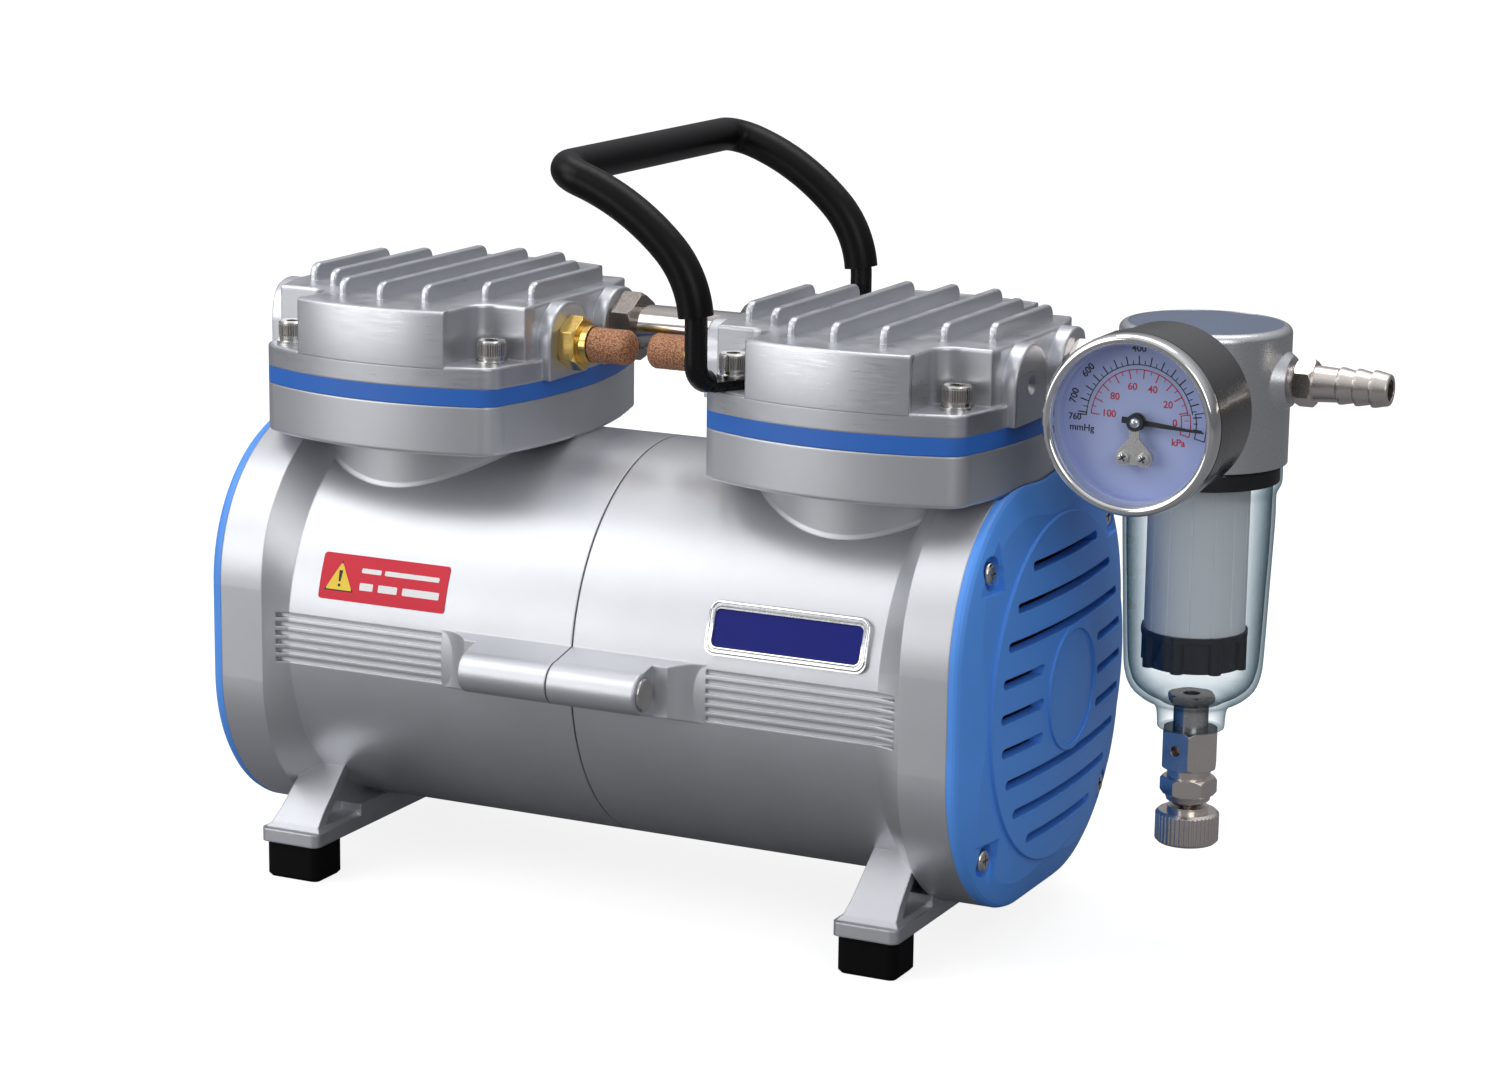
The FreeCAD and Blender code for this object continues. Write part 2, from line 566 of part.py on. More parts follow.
def handle_frame():
    """Bent steel rod with flattened ends under the two left screws of the right head."""
    r, q = 5.6, math.sqrt(0.5)
    zc = LEDGE_Z + 2.9 + r
    ends = []
    for s in (-1, 1):
        dx, dy = [p for p in SCREWS if p[0] < 0 and p[1] * s > 0][0]
        sx, sy = HEAD_X + dx, dy
        d = math.hypot(sx - HX, sy - s * HY)
        ends.append((s, sx, sy, (sx - HX) / d, (sy - s * HY) / d))
    edges = list(handle_path(zc).Edges)
    bends = []
    for s, sx, sy, ux, uy in ends:
        bends.append(Part.Arc(V(HX + ux * r, s * HY + uy * r, zc - r),
                              V(HX + ux * r * (1 - q), s * HY + uy * r * (1 - q), zc - r * q),
                              V(HX, s * HY, zc)).toShape())
    path = Part.Wire([bends[0]] + edges + [bends[1]])
    s, sx, sy, ux, uy = ends[0]
    body = sweep(path, (HX + ux * r, s * HY + uy * r, zc - r), (-ux, -uy, 0), ROD_R)
    for s, sx, sy, ux, uy in ends:
        flat = cyl_z(LEDGE_Z, LEDGE_Z + 3.0, sx, sy, 6.0)
        tx, ty = HX + ux * (r - 1.0), s * HY + uy * (r - 1.0)
        w0, w1 = 3.2, 5.8
        pts = [V(tx - uy * w0, ty + ux * w0, LEDGE_Z), V(sx - uy * w1, sy + ux * w1, LEDGE_Z),
               V(sx + uy * w1, sy - ux * w1, LEDGE_Z), V(tx + uy * w0, ty - ux * w0, LEDGE_Z)]
        strap = Part.Face(Part.makePolygon(pts + [pts[0]])).extrude(V(0, 0, 3.0))
        body = body.fuse(strap.fuse(flat))
        body = body.cut(cyl_z(LEDGE_Z - 1, LEDGE_Z + 5, sx, sy, 2.8))
        body = body.cut(box(0, HEAD_X, s * HY - 14, s * HY + 14, 150, LEDGE_Z))
        body = body.cut(tube_z(LEDGE_Z + 3.0, LEDGE_Z + 9.0, sx, sy, 5.3, 0.5))
    return body.removeSplitter()


def handle_grip():
    z0 = 186.9
    outer = sweep(handle_path(z0), (HX, -HY, z0), (0, 0, 1), GRIP_R)
    inner = sweep(handle_path(z0 - 5.0), (HX, -HY, z0 - 5.0), (0, 0, 1), ROD_R)
    tube = outer.cut(inner)
    for s in (-1, 1):
        trim = Part.makeBox(30, 20, 12, V(HX - 15, s * HY - 10, 179.3))
        trim.rotate(V(HX, s * HY, 191.3), V(0, 1, 0), -8)
        tube = tube.cut(trim)
    return tube


# ---- labels -------------------------------------------------------------------------------
def on_barrel(x0, x1, z0, z1, r0, r1, corner):
    """Curved plate lying on the front of the barrel."""
    block = box(x0, x1, -80, -30, z0, z1)
    block = block.makeFillet(corner, [e for e in block.Edges if e.BoundBox.YLength > 40])
    shell = cyl_x(x0 - 1, x1 + 1, 0, AXIS_Z, r1).cut(cyl_x(x0 - 2, x1 + 2, 0, AXIS_Z, r0))
    return block.common(shell)


def nameplate():
    outer = on_barrel(44.6, 97.2, 91.4, 106.6, BARREL_R, BARREL_R + 1.3, 3.2)
    inner = on_barrel(46.6, 95.2, 93.2, 104.8, BARREL_R - 1, BARREL_R + 2, 2.0)
    frame = outer.cut(inner)
    face = on_barrel(46.6, 95.2, 93.2, 104.8, BARREL_R, BARREL_R + 0.8, 2.0)
    return frame, face


# ---- drive train --------------------------------------------------------------------------
def stator():
    core = tube_x(-22, 22, 0, AXIS_Z, CAVITY_R - 0.02, 31.0)
    for i in range(24):
        a = math.radians(15 * i)
        slot = box(-23, 23, 34.0, 44.0, -1.6, 1.6)
        slot.rotate(V(0, 0, 0), V(1, 0, 0), 15 * i)
        slot.translate(V(0, 0, AXIS_Z))
        core = core.cut(slot)
        if i % 6 == 3:
            core = core.cut(cyl_x(-23, 23, 50.5 * math.cos(a), AXIS_Z + 50.5 * math.sin(a), 2.6))
    rings = []
    for side in (-1, 1):
        x0, x1 = sorted((side * 22.0, side * 36.0))
        coil = tube_x(x0, x1, 0, AXIS_Z, 47.0, 34.0)
        edges = [e for e in coil.Edges if abs(e.BoundBox.XMin - side * 36.0) < 0.01]
        rings.append(coil.makeFillet(4.5, edges))
    return core, Part.makeCompound(rings)


def crank():
    shaft = cyl_x(-122.0, 122.0, 0, AXIS_Z, SHAFT_R)
    shaft = shaft.makeChamfer(0.8, [shaft.Edges[0], shaft.Edges[2]])
    rotor = tube_x(-23, 23, 0, AXIS_Z, 30.5, SHAFT_R)
    for side in (-1, 1):
        x0, x1 = sorted((side * 23.0, side * 28.0))
        rotor = rotor.fuse(tube_x(x0, x1, 0, AXIS_Z, 29.0, 20.0))
    return shaft, rotor.removeSplitter()


def eccentric(side, phase):
    """Offset journal with its counterweight, keyed to the shaft."""
    x = side * HEAD_X
    x0, x1 = x - 6.4, x + 6.4
    journal = cyl_x(x0, x1, 0, AXIS_Z + phase * THROW, 12.5)
    w0, w1 = sorted((side * (HEAD_X + 6.3), side * (HEAD_X + 14.0)))
    weight = cyl_x(w0, w1, 0, AXIS_Z, 26.0)
    keep = box(w0 - 1, w1 + 1, -30, 30, AXIS_Z - 30, AXIS_Z + 6)
    weight = weight.common(keep)
    if phase < 0:
        weight.rotate(V(0, 0, AXIS_Z), V(1, 0, 0), 180)
    hub = cyl_x(w0, w1, 0, AXIS_Z, 14.0)
    body = fuse([journal, weight, hub])
    return body.cut(cyl_x(-200, 200, 0, AXIS_Z, SHAFT_R))


def rod_parts(side, phase):
    """Connecting rod with its piston disc, rod bearing, cup and clamp plate."""
    x = side * HEAD_X
    zp = AXIS_Z + phase * THROW
    top = 149.6 + (phase - 1) * THROW
    bearing = tube_x(x - 5.5, x + 5.5, 0, zp, 19.0, 12.5 + FIT)
    big = tube_x(x - 5.9, x + 5.9, 0, zp, 24.5, 19.0)
    stem = box(x - 5.0, x + 5.0, -9.0, 9.0, zp + 20.0, top - 4.0)
    disc = cyl_z(top - 6.0, top, x, 0, 17.3)
    rod = fuse([big, stem, disc]).cut(cyl_x(x - 8, x + 8, 0, zp, 19.0))
    rod = rod.cut(cyl_z(top - 11, top + 1, x, 0, 2.0))
    cup = revolve_z([(2.2, top), (17.5, top), (21.2, top + 3.4), (21.9, top + 3.4), (21.9, top + 4.0),
                     (20.6, top + 4.0), (17.0, top + 0.9), (2.2, top + 0.9)], x, 0)
    clamp = cyl_z(top + 0.9, top + 3.2, x, 0, 15.5).cut(cyl_z(top, top + 4, x, 0, 2.2))
    screw = cyl_z(top - 10, top + 3.2, x, 0, 2.0).fuse(
        Part.makeCone(2.0, 4.0, 1.6, V(x, 0, top + 3.2 - 1.6), V(0, 0, 1)))
    clamp = clamp.cut(Part.makeCone(2.0, 4.0, 1.6, V(x, 0, top + 3.2 - 1.6), V(0, 0, 1)))
    return rod, bearing, cup, clamp.removeSplitter(), screw.removeSplitter()


def fan(side):
    """Radial-blade cooling fan between crank web and end cover."""
    x0, x1 = sorted((side * 104.0, side * 121.0))
    hub = tube_x(x0, x1, 0, AXIS_Z, 14.0, SHAFT_R)
    back = side * 104.0
    b0, b1 = sorted((back, back + side * 2.0))
    body = hub.fuse(tube_x(b0, b1, 0, AXIS_Z, 50.0, 13.0))
    blades = []
    for i in range(9):
        blade = box(x0, x1, 13.0, 50.0, -1.0, 1.0)
        tilt = V(0, 13.0, 0)
        blade.rotate(tilt, V(1, 0, 0), 18)
        blade.rotate(V(0, 0, 0), V(1, 0, 0), 40 * i)
        blade.translate(V(0, 0, AXIS_Z))
        blades.append(blade.common(cyl_x(x0, x1, 0, AXIS_Z, 50.0)))
    return fuse([body] + blades)


# ---- pneumatic fittings -------------------------------------------------------------------
def silencers():
    fittings, elements = [], []
    for side in (-1, 1):
        x = side * (HEAD_X - BOSS_X)
        d = (-side, 0, 0)
        y, z = -PORT_Y, PORT_Z - 0.6
        fit = hex_prism(5.6, 15.0, 0.9).cut(Part.makeCylinder(3.0, 8, V(0, 0, -1)))
        neck = Part.makeCylinder(6.0, 3.0, V(0, 0, 5.6)).cut(Part.makeCylinder(4.2, 5, V(0, 0, 5)))
        tail = Part.makeCylinder(4.5, 8.0, V(0, 0, -8)).cut(Part.makeCylinder(3.0, 9, V(0, 0, -8.5)))
        body = fit.fuse(neck).fuse(tail).cut(Part.makeCylinder(4.2, 5, V(0, 0, 5.6)))
        fittings.append(aim(body.removeSplitter(), (x, y, z), d))
        out = [(3.0, 5.7), (4.2, 5.7), (4.2, 8.7), (5.5, 8.7), (5.5, 20.5), (5.0, 21.8), (3.9, 22.6),
               (0.0, 22.8), (0.0, 19.5), (3.0, 19.5)]
        elements.append(revolve_to(out, (x, y, z), d))
    return Part.makeCompound(fittings), Part.makeCompound(elements)


def pipe_set():
    pipe = tube_x(-32.9, 32.9, PORT_Y, PORT_Z, 7.2, 5.6)
    nuts = []
    for side in (-1, 1):
        nut = hex_prism(7.5, 19.0, 1.0).cut(Part.makeCylinder(7.2, 20, V(0, 0, -1)))
        nuts.append(aim(nut, (side * (HEAD_X - BOSS_X), PORT_Y, PORT_Z), (-side, 0, 0)))
    return pipe, Part.makeCompound(nuts)


def filter_set():
    x, y = FILTER_X, FILTER_Y
    out = {}
    head = cyl_z(149.0, 190.0, x, y, FILTER_R)
    rim = [e for e in head.Edges if abs(e.BoundBox.ZMin - 190.0) < 0.01 and e.BoundBox.ZLength < 0.01]
    head = head.makeFillet(2.4, rim)
    head = head.fuse(cyl_x(x - 28.6, x - 18, y, PORT_Z, 12.0))
    head = head.fuse(Part.makeCone(10.5, 7.4, 4.4, V(x + 23, y, BARB_Z), V(1, 0, 0)))
    head = head.fuse(cyl_y(y - 28.0, y - 18, x, GAUGE_Z, 10.0))
    head = head.cut(cyl_z(148.0, 162.0, x, y, 22.9))
    head = head.cut(cyl_z(161.0, 180.0, x, y, 6.0))
    head = head.cut(cyl_x(x - 40, x, y, PORT_Z, 6.0))
    head = head.cut(cyl_x(x, x + 40, y, BARB_Z, 4.8))
    head = head.cut(cyl_y(y - 40, y, x, GAUGE_Z, 4.8))
    head = head.cut(cyl_z(189.2, 191, x, y, 23.0))
    out["filter_head"] = head.removeSplitter()
    out["filter_top_disc"] = cyl_z(189.2, 189.8, x, y, 23.0)
    n0, n1 = HEAD_X + BOSS_X, x - 28.6
    nip = tube_x(n0 - 8, n1 + 8, y, PORT_Z, 6.0, 4.0)
    hexa = aim(hex_prism(n1 - n0, 15.0, 0.8), (n0, y, PORT_Z), (1, 0, 0))
    out["filter_nipple"] = nip.fuse(hexa.cut(cyl_x(n0 - 1, n1 + 1, y, PORT_Z, 5.0))).removeSplitter()
    # blown bowl: threaded mouth, rolled rim, slightly tapered wall, rounded floor and neck
    prof = [(22.85, 158.0), (22.85, 143.3), (23.55, 143.3), (23.55, 148.4), (24.3, 148.4), (24.4, 142.6),
            (23.7, 140.4), (22.8, 139.4),
            (22.7, 130.0), (21.9, 110.0), (21.1, 90.0), (20.5, 83.0), (18.6, 78.2), (15.2, 75.2),
            (11.6, 73.2), (10.3, 71.0), (10.1, 66.0), (5.2, 66.0), (5.2, 74.0), (8.4, 74.0), (10.6, 76.0),
            (13.4, 77.6), (16.4, 80.4), (18.0, 84.0), (18.7, 90.0), (19.5, 110.0), (20.3, 130.0),
            (20.4, 158.0)]
    out["filter_bowl"] = revolve_z(prof, x, y)
    out["bowl_seal"] = tube_z(143.3, 148.9, x, y, 23.5, 22.9)
    out["filter_element"] = tube_z(97.3, 150.0, x, y, 15.2, 9.5)
    cap = tube_z(150.0, 161.9, x, y, 12.0, 3.0)
    ret = cyl_z(86.0, 95.5, x, y, 14.6).fuse(cyl_z(95.5, 97.3, x, y, 16.0))
    for i in range(8):
        a = math.radians(45 * i)
        ret = ret.fuse(cyl_z(86.0, 97.3, x + 14.6 * math.cos(a), y + 14.6 * math.sin(a), 2.0))
    ret = ret.cut(cyl_z(85, 98, x, y, 3.0))
    rod = cyl_z(84.4, 168.0, x, y, 2.95)
    nut = hex_prism(1.5, 8.0, 0.3)
    nut.translate(V(x, y, 84.5))
    rod = rod.fuse(nut).cut(cyl_z(84, 90, x, y, 1.0)).removeSplitter()
    top_cap = cap.fuse(tube_z(150.0, 152.0, x, y, 16.6, 3.0)).removeSplitter()
    out["element_retainers"] = Part.makeCompound([ret.removeSplitter(), top_cap, rod])
    return out


def drain_set():
    x, y = FILTER_X, FILTER_Y
    out = {}
    stem = cyl_z(65.9, 74.1, x, y, 5.2)
    h1 = hex_prism(12.3, 16.0, 1.0)
    h1.rotate(V(0, 0, 0), V(0, 0, 1), DRAIN_TURN)
    h1.translate(V(x, y, 53.7))
    neck = cyl_z(50.8, 53.8, x, y, 6.6)
    body = fuse([stem, h1, neck]).cut(cyl_z(49, 76, x, y, 2.6))
    nut = hex_prism(2.6, 13.0, 0.6)
    nut.translate(V(x, y, 74.1))
    spout = cyl_y(y - 12, y, x, 60.0, 1.6)
    spout.rotate(V(x, y, 60.0), V(0, 0, 1), DRAIN_TURN)
    body = body.cut(spout)
    g = hex_prism(5.4, 15.0, 0.9)
    g.rotate(V(0, 0, 0), V(0, 0, 1), 16.0)
    g.translate(V(x, y, 45.4))
    gland = fuse([g, revolve_z([(0, 42.2), (4.8, 42.2), (6.6, 43.6), (7.1, 45.4), (0, 45.4)], x, y)])
    out["drain_body"] = Part.makeCompound([body, gland.cut(cyl_z(41, 52, x, y, 2.6)),
                                           nut.cut(cyl_z(70, 82, x, y, 2.6))])
    knob = cyl_z(30.3, 40.2, x, y, 9.7)
    knob = knob.makeChamfer(0.9, knob.Edges[:1] + knob.Edges[2:3])
    knob = knob.fuse(cyl_z(40.0, 41.6, x, y, 6.2))
    for i in range(42):
        a = 2 * math.pi * i / 42
        knob = knob.cut(cyl_z(29, 40.4, x + 9.85 * math.cos(a), y + 9.85 * math.sin(a), 0.42))
    knob = knob.cut(cyl_z(32.5, 43, x, y, 2.28))
    out["drain_knob"] = knob.removeSplitter()
    out["drain_needle"] = cyl_z(34.0, 68.0, x, y, 2.2).fuse(
        Part.makeCone(2.2, 0.8, 2.5, V(x, y, 68.0), V(0, 0, 1))).removeSplitter()
    return out


def hose_barb():
    """Hexagon body with a threaded tail, a tapered shank and three equal barbs."""
    profile = [(0, 6.9), (5.3, 6.9), (5.4, 7.4), (5.0, 14.2)]
    at = 14.2
    for _ in range(3):
        profile += [(5.5, at + 0.5), (5.5, at + 1.3), (4.7, at + 5.0)]
        at += 5.0
    profile += [(4.4, at + 0.4), (0, at + 0.4)]
    points = [V(r, 0, h) for r, h in profile]
    shank = Part.Face(Part.makePolygon(points + [points[0]])).revolve(V(0, 0, 0), V(0, 0, 1), 360)
    tail = Part.makeCylinder(4.8, 9.5, V(0, 0, -9.0))
    hexa = hex_prism(5.6, 12.5, 0.8)
    hexa.translate(V(0, 0, 1.6))
    body = fuse([hexa, tail, shank, Part.makeCylinder(4.8, 2.2)]).cut(Part.makeCylinder(3.2, 60, V(0, 0, -20)))
    return aim(body, (FILTER_X + 27.4, FILTER_Y, BARB_Z), (1, 0, 0))


# ---- gauge ----------------------------------------------------------------------------------
def gauge_set():
    x, z, f = FILTER_X, GAUGE_Z, GAUGE_FRONT
    out = {}
    r = GAUGE_R
    case = revolve_to([(0, 34.4), (r - 1.0, 34.4), (r - 1.0, 11.7), (r - 2.6, 11.7), (r - 2.6, 31.8),
                       (0, 31.8)], (x, f, z), (0, 1, 0))
    out["gauge_case"] = case.cut(cyl_y(f + 30, f + 36, x, z, 4.8))
    bezel = revolve_to([(r, 1.2), (r - 1.4, 0.0), (r - 2.6, 0.0), (r - 4.2, 2.6), (r - 4.2, 3.2),
                        (r - 2.4, 3.2), (r - 2.4, 11.6), (r - 1.0, 11.6), (r - 1.0, 13.2), (r, 13.2)],
                       (x, f, z), (0, 1, 0))
    ring = tube_y(f + 4.9, f + 10.6, x, z, r - 2.5, r - 4.0)
    out["gauge_bezel"] = Part.makeCompound([bezel, ring])
    out["gauge_lens"] = cyl_y(f + 3.3, f + 4.9, x, z, r - 2.5)
    out["gauge_dial"] = cyl_y(f + 10.6, f + 11.4, x, z, r - 2.5).cut(cyl_y(f + 10, f + 12, x, z, 1.3))
    # pointer at the zero mark
    hub = cyl_y(f + 7.8, f + 8.9, x, z, 2.6)
    blade = Part.Face(Part.makePolygon([V(0, 0, -0.9), V(20.0, 0, -0.22), V(20.0, 0, 0.22), V(0, 0, 0.9),
                                        V(-4.5, 0, 0.9), V(-4.5, 0, -0.9), V(0, 0, -0.9)]))
    blade = blade.extrude(V(0, 0.5, 0))
    blade.translate(V(x, f + 8.1, z))
    pointer = fuse([hub, blade, cyl_y(f + 8.0, f + 16.0, x, z, 0.93)])
    pointer.rotate(V(x, 0, z), V(0, -1, 0), POINTER_REST)
    out["gauge_pointer"] = pointer
    # bridge standing on two screw posts in front of the pointer
    outline = [V(x - 1.5, f + 6.6, z), V(x + 1.5, f + 6.6, z), V(x + 1.5, f + 6.6, z - 4.6),
               V(x + 5.0, f + 6.6, z - 8.4), V(x + 5.0, f + 6.6, z - 12.2), V(x - 5.0, f + 6.6, z - 12.2),
               V(x - 5.0, f + 6.6, z - 8.4), V(x - 1.5, f + 6.6, z - 4.6)]
    plate = Part.Face(Part.makePolygon(outline + [outline[0]])).extrude(V(0, 0.7, 0))
    plate = plate.fuse(cyl_y(f + 6.6, f + 7.3, x, z, 2.1))
    plate = plate.fuse(Part.makeSphere(1.6, V(x, f + 7.0, z)).common(box(x - 3, x + 3, f + 4, f + 7, z - 3, z + 3)))
    for s in (-1, 1):
        plate = plate.fuse(cyl_y(f + 6.6, f + 7.3, x + s * 3.0, z - 10.2, 2.5))
        plate = plate.fuse(cyl_y(f + 7.3, f + 10.6, x + s * 3.0, z - 10.2, 1.7))
        plate = plate.cut(cyl_y(f + 6, f + 9.6, x + s * 3.0, z - 10.2, 0.8))
    pieces = [plate.removeSplitter()]
    for s in (-1, 1):
        sx, sz = x + s * 3.0, z - 10.2
        stud = cyl_y(f + 5.5, f + 6.6, sx, sz, 1.7)
        stud = stud.makeFillet(0.4, [e for e in stud.Edges if e.BoundBox.YMax < f + 5.6])
        stud = stud.fuse(cyl_y(f + 6.6, f + 9.5, sx, sz, 0.8))
        stud = stud.cut(box(sx - 1.1, sx + 1.1, f + 5, f + 6.1, sz - 0.22, sz + 0.22))
        pieces.append(stud.cut(box(sx - 0.22, sx + 0.22, f + 5, f + 6.1, sz - 1.1, sz + 1.1)))
    out["gauge_bridge"] = Part.makeCompound(pieces)
    # bourdon movement and stem
    arbor = tube_y(f + 11.4, f + 17.0, x, z, 3.0, 1.0)
    frame = box(x - 10, x + 10, f + 17.0, f + 19.0, z - 8, z + 8).cut(cyl_y(f + 16, f + 20, x, z, 1.0))
    coil = Part.makeTorus(15.0, 2.0, V(x, f + 23.0, z), V(0, 1, 0), 0, 360, 270)
    link = box(x - 3, x + 3, f + 19.0, f + 31.8, z - 17, z - 7)
    link = link.cut(cyl_y(f + 20.5, f + 25.5, x, z, 12.6))
    stem = tube_y(f + 31.8, FILTER_Y - 20, x, z, 4.8, 2.5)
    nut = aim(hex_prism(FILTER_Y - 28.0 - (f + 34.4), 12.0, 0.1), (x, f + 34.4, z), (0, 1, 0))
    stem = stem.fuse(nut.cut(cyl_y(f + 30, 0, x, z, 4.0))).removeSplitter()
    out["gauge_movement"] = Part.makeCompound([fuse([arbor, frame, link, coil]), stem])
    return out


# ---- feet, electrics ----------------------------------------------------------------------
def feet():
    rubbers, screws = [], []
    for sx in (-1, 1):
        for sy in (-1, 1):
            x, y = sx * FOOT_X, sy * FOOT_Y
            foot = box(x - 9.8, x + 9.8, y - 7.8, y + 7.8, 0, FOOT_H)
            foot = foot.makeFillet(3.0, [e for e in foot.Edges if e.BoundBox.ZLength > 5])
            foot = foot.makeChamfer(1.0, [e for e in foot.Edges if e.BoundBox.ZMax < 0.01])
            foot = foot.cut(cyl_z(-1, 4.0, x, y, 5.2)).cut(cyl_z(3, 8.0, x, y, 4.7))
            foot = foot.cut(cyl_z(7, 13, x, y, 2.6))
            rubbers.append(foot)
            screw = cap_screw(0, 0, 0, 2.5, 9.0, 4.5, 3.4, 4.0)
            screws.append(aim(screw, (x, y, 8.0), (0, 0, -1)))
    return Part.makeCompound(rubbers), Part.makeCompound(screws)


def electrics():
    out = {}
    x, z = SWITCH_X, AXIS_Z
    body = box(x - 13.8, x + 13.8, 46.0, 64.0, z - 6.3, z + 6.3)
    bezel = box(x - 15.8, x + 15.8, 64.0, 66.2, z - 8.2, z + 8.2)
    bezel = bezel.makeFillet(1.5, [e for e in bezel.Edges if e.BoundBox.YLength > 2])
    body = body.fuse(bezel)
    out["power_switch_body"] = body.cut(box(x - 11, x + 11, 57.5, 67.0, z - 5.0, z + 5.0)).removeSplitter()
    pts = [V(-10.2, 0.8, 0), V(-10.2, 4.9, 0), V(0, 3.2, 0), V(10.2, 4.9, 0), V(10.2, 0.8, 0), V(0, -2.6, 0)]
    rocker = Part.Face(Part.makePolygon(pts + [pts[0]])).extrude(V(0, 0, 9.2))
    rocker.rotate(V(0, 0, 0), V(0, 0, 1), ROCKER_TILT)
    rocker.translate(V(x, 62.0, z - 4.6))
    out["power_switch_rocker"] = rocker
    gland = tube_y(58.5, 66.0, -x, z, 5.95, 3.6)
    nut = aim(hex_prism(6.0, 16.0, 0.8), (-x, 64.0, z), (0, 1, 0))
    dome = revolve_to([(3.6, 6.0), (7.2, 6.0), (6.6, 10.0), (5.0, 12.5), (3.6, 12.5)], (-x, 64.0, z), (0, 1, 0))
    out["cable_gland"] = fuse([gland, nut.cut(cyl_y(60, 75, -x, z, 3.6)), dome])
    can = cyl_x(-102.0, -62.0, 42.0, z - 24.0, 8.5)
    out["capacitor"] = can.makeFillet(1.5, [can.Edges[0], can.Edges[2]])
    return out


def tie_bolt():
    """Bolt through the front boss with a plain round cap at its right-hand end."""
    bolt = cyl_x(-29.0, 29.4, NOSE_Y, NOSE_Z, 2.0)
    cap = cyl_x(28.8, 30.6, NOSE_Y, NOSE_Z, 5.0)
    cap = cap.makeFillet(0.7, [e for e in cap.Edges if e.BoundBox.XMin > 30.59])
    return fuse([bolt, cap])


# ---- build and export -----------------------------------------------------------------------
def sleeve(x):
    body = tube_z(112.0, DECK_Z1, x, 0, SLEEVE_R, BORE_R)
    return body


def main():
    parts = {}
    parts["left_housing"], parts["right_housing"] = make_housings()
    cover = end_cover()
    deck = head_prism(DECK_Z0 - 0.4, DECK_Z1, -0.4)
    parts["right_end_cover"] = cover.cut(deck)
    parts["left_end_cover"] = mirror_x(cover).cut(shift_half_turn(deck))
    parts["cover_screws"] = cover_screws()
    plate = valve_plate()
    parts["valve_plates"] = Part.makeCompound([plate, shift_half_turn(plate)])
    head = head_body()
    parts["right_cylinder_head"] = bore_ports(head, True)
    parts["left_cylinder_head"] = bore_ports(shift_half_turn(head), False)
    parts["reed_valves"] = reeds()
    parts["head_screws"] = head_fasteners()
    parts["cylinder_sleeves"] = Part.makeCompound([sleeve(-HEAD_X), sleeve(HEAD_X)])
    parts["handle_frame"] = handle_frame()
    parts["handle_grip"] = handle_grip()
    parts["nameplate_frame"], parts["nameplate_face"] = nameplate()
    parts["caution_label"] = on_barrel(-90.8, -45.4, 92.6, 106.4, BARREL_R, BARREL_R + 0.25, 1.0)
    parts["stator_core"], parts["stator_windings"] = stator()
    parts["motor_shaft"], parts["rotor_core"] = crank()
    parts["shaft_bearings"] = Part.makeCompound(
        [tube_x(47.0, 58.0, 0, AXIS_Z, 17.5, SHAFT_R + FIT),
         tube_x(-58.0, -47.0, 0, AXIS_Z, 17.5, SHAFT_R + FIT)])
    parts["eccentrics"] = Part.makeCompound([eccentric(-1, -1), eccentric(1, 1)])
    parts["cooling_fans"] = Part.makeCompound([fan(-1), fan(1)])
    for name, side, phase in (("left", -1, -1), ("right", 1, 1)):
        rod, bearing, cup, clamp, screw = rod_parts(side, phase)
        parts[name + "_connecting_rod"] = rod
        parts[name + "_rod_bearing"] = bearing
        parts[name + "_piston_cup"] = cup
        parts[name + "_piston_clamp"] = Part.makeCompound([clamp, screw])
    parts["silencer_fittings"], parts["silencer_elements"] = silencers()
    parts["connecting_pipe"], parts["pipe_nuts"] = pipe_set()
    parts.update(filter_set())
    parts.update(drain_set())
    parts["hose_barb"] = hose_barb()
    parts.update(gauge_set())
    parts["rubber_feet"], parts["foot_screws"] = feet()
    parts.update(electrics())
    parts["tie_bolt"] = tie_bolt()
    for name in sorted(parts):
        shape = parts[name]
        shape.exportStep("parts/" + name + ".step")
        b = shape.BoundBox
        print("%-24s solids %2d valid %s  x %.1f %.1f  y %.1f %.1f  z %.1f %.1f" % (
            name, len(shape.Solids), shape.isValid(), b.XMin, b.XMax, b.YMin, b.YMax, b.ZMin, b.ZMax))
    print("nodes", len(parts))


main()
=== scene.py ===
import bpy
import bmesh
import math
from mathutils import Matrix, Vector, noise


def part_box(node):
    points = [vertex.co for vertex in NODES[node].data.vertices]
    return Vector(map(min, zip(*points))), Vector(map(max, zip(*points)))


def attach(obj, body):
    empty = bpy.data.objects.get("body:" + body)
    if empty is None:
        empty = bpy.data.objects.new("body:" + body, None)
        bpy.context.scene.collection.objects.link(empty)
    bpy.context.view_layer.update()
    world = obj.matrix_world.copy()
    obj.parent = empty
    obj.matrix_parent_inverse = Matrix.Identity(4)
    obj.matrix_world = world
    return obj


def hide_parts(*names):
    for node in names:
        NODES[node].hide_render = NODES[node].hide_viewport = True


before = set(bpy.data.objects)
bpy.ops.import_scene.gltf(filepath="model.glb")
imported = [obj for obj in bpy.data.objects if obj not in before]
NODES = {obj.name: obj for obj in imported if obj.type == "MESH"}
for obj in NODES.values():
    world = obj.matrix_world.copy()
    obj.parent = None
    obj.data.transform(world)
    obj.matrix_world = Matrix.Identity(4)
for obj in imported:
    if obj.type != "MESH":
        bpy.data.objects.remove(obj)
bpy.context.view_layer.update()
MM = 0.001
PATCH_SCALE = 35.0


# ---- places taken from the frame --------------------------------------------------------
def centre(node):
    low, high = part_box(node)
    return (low + high) / 2


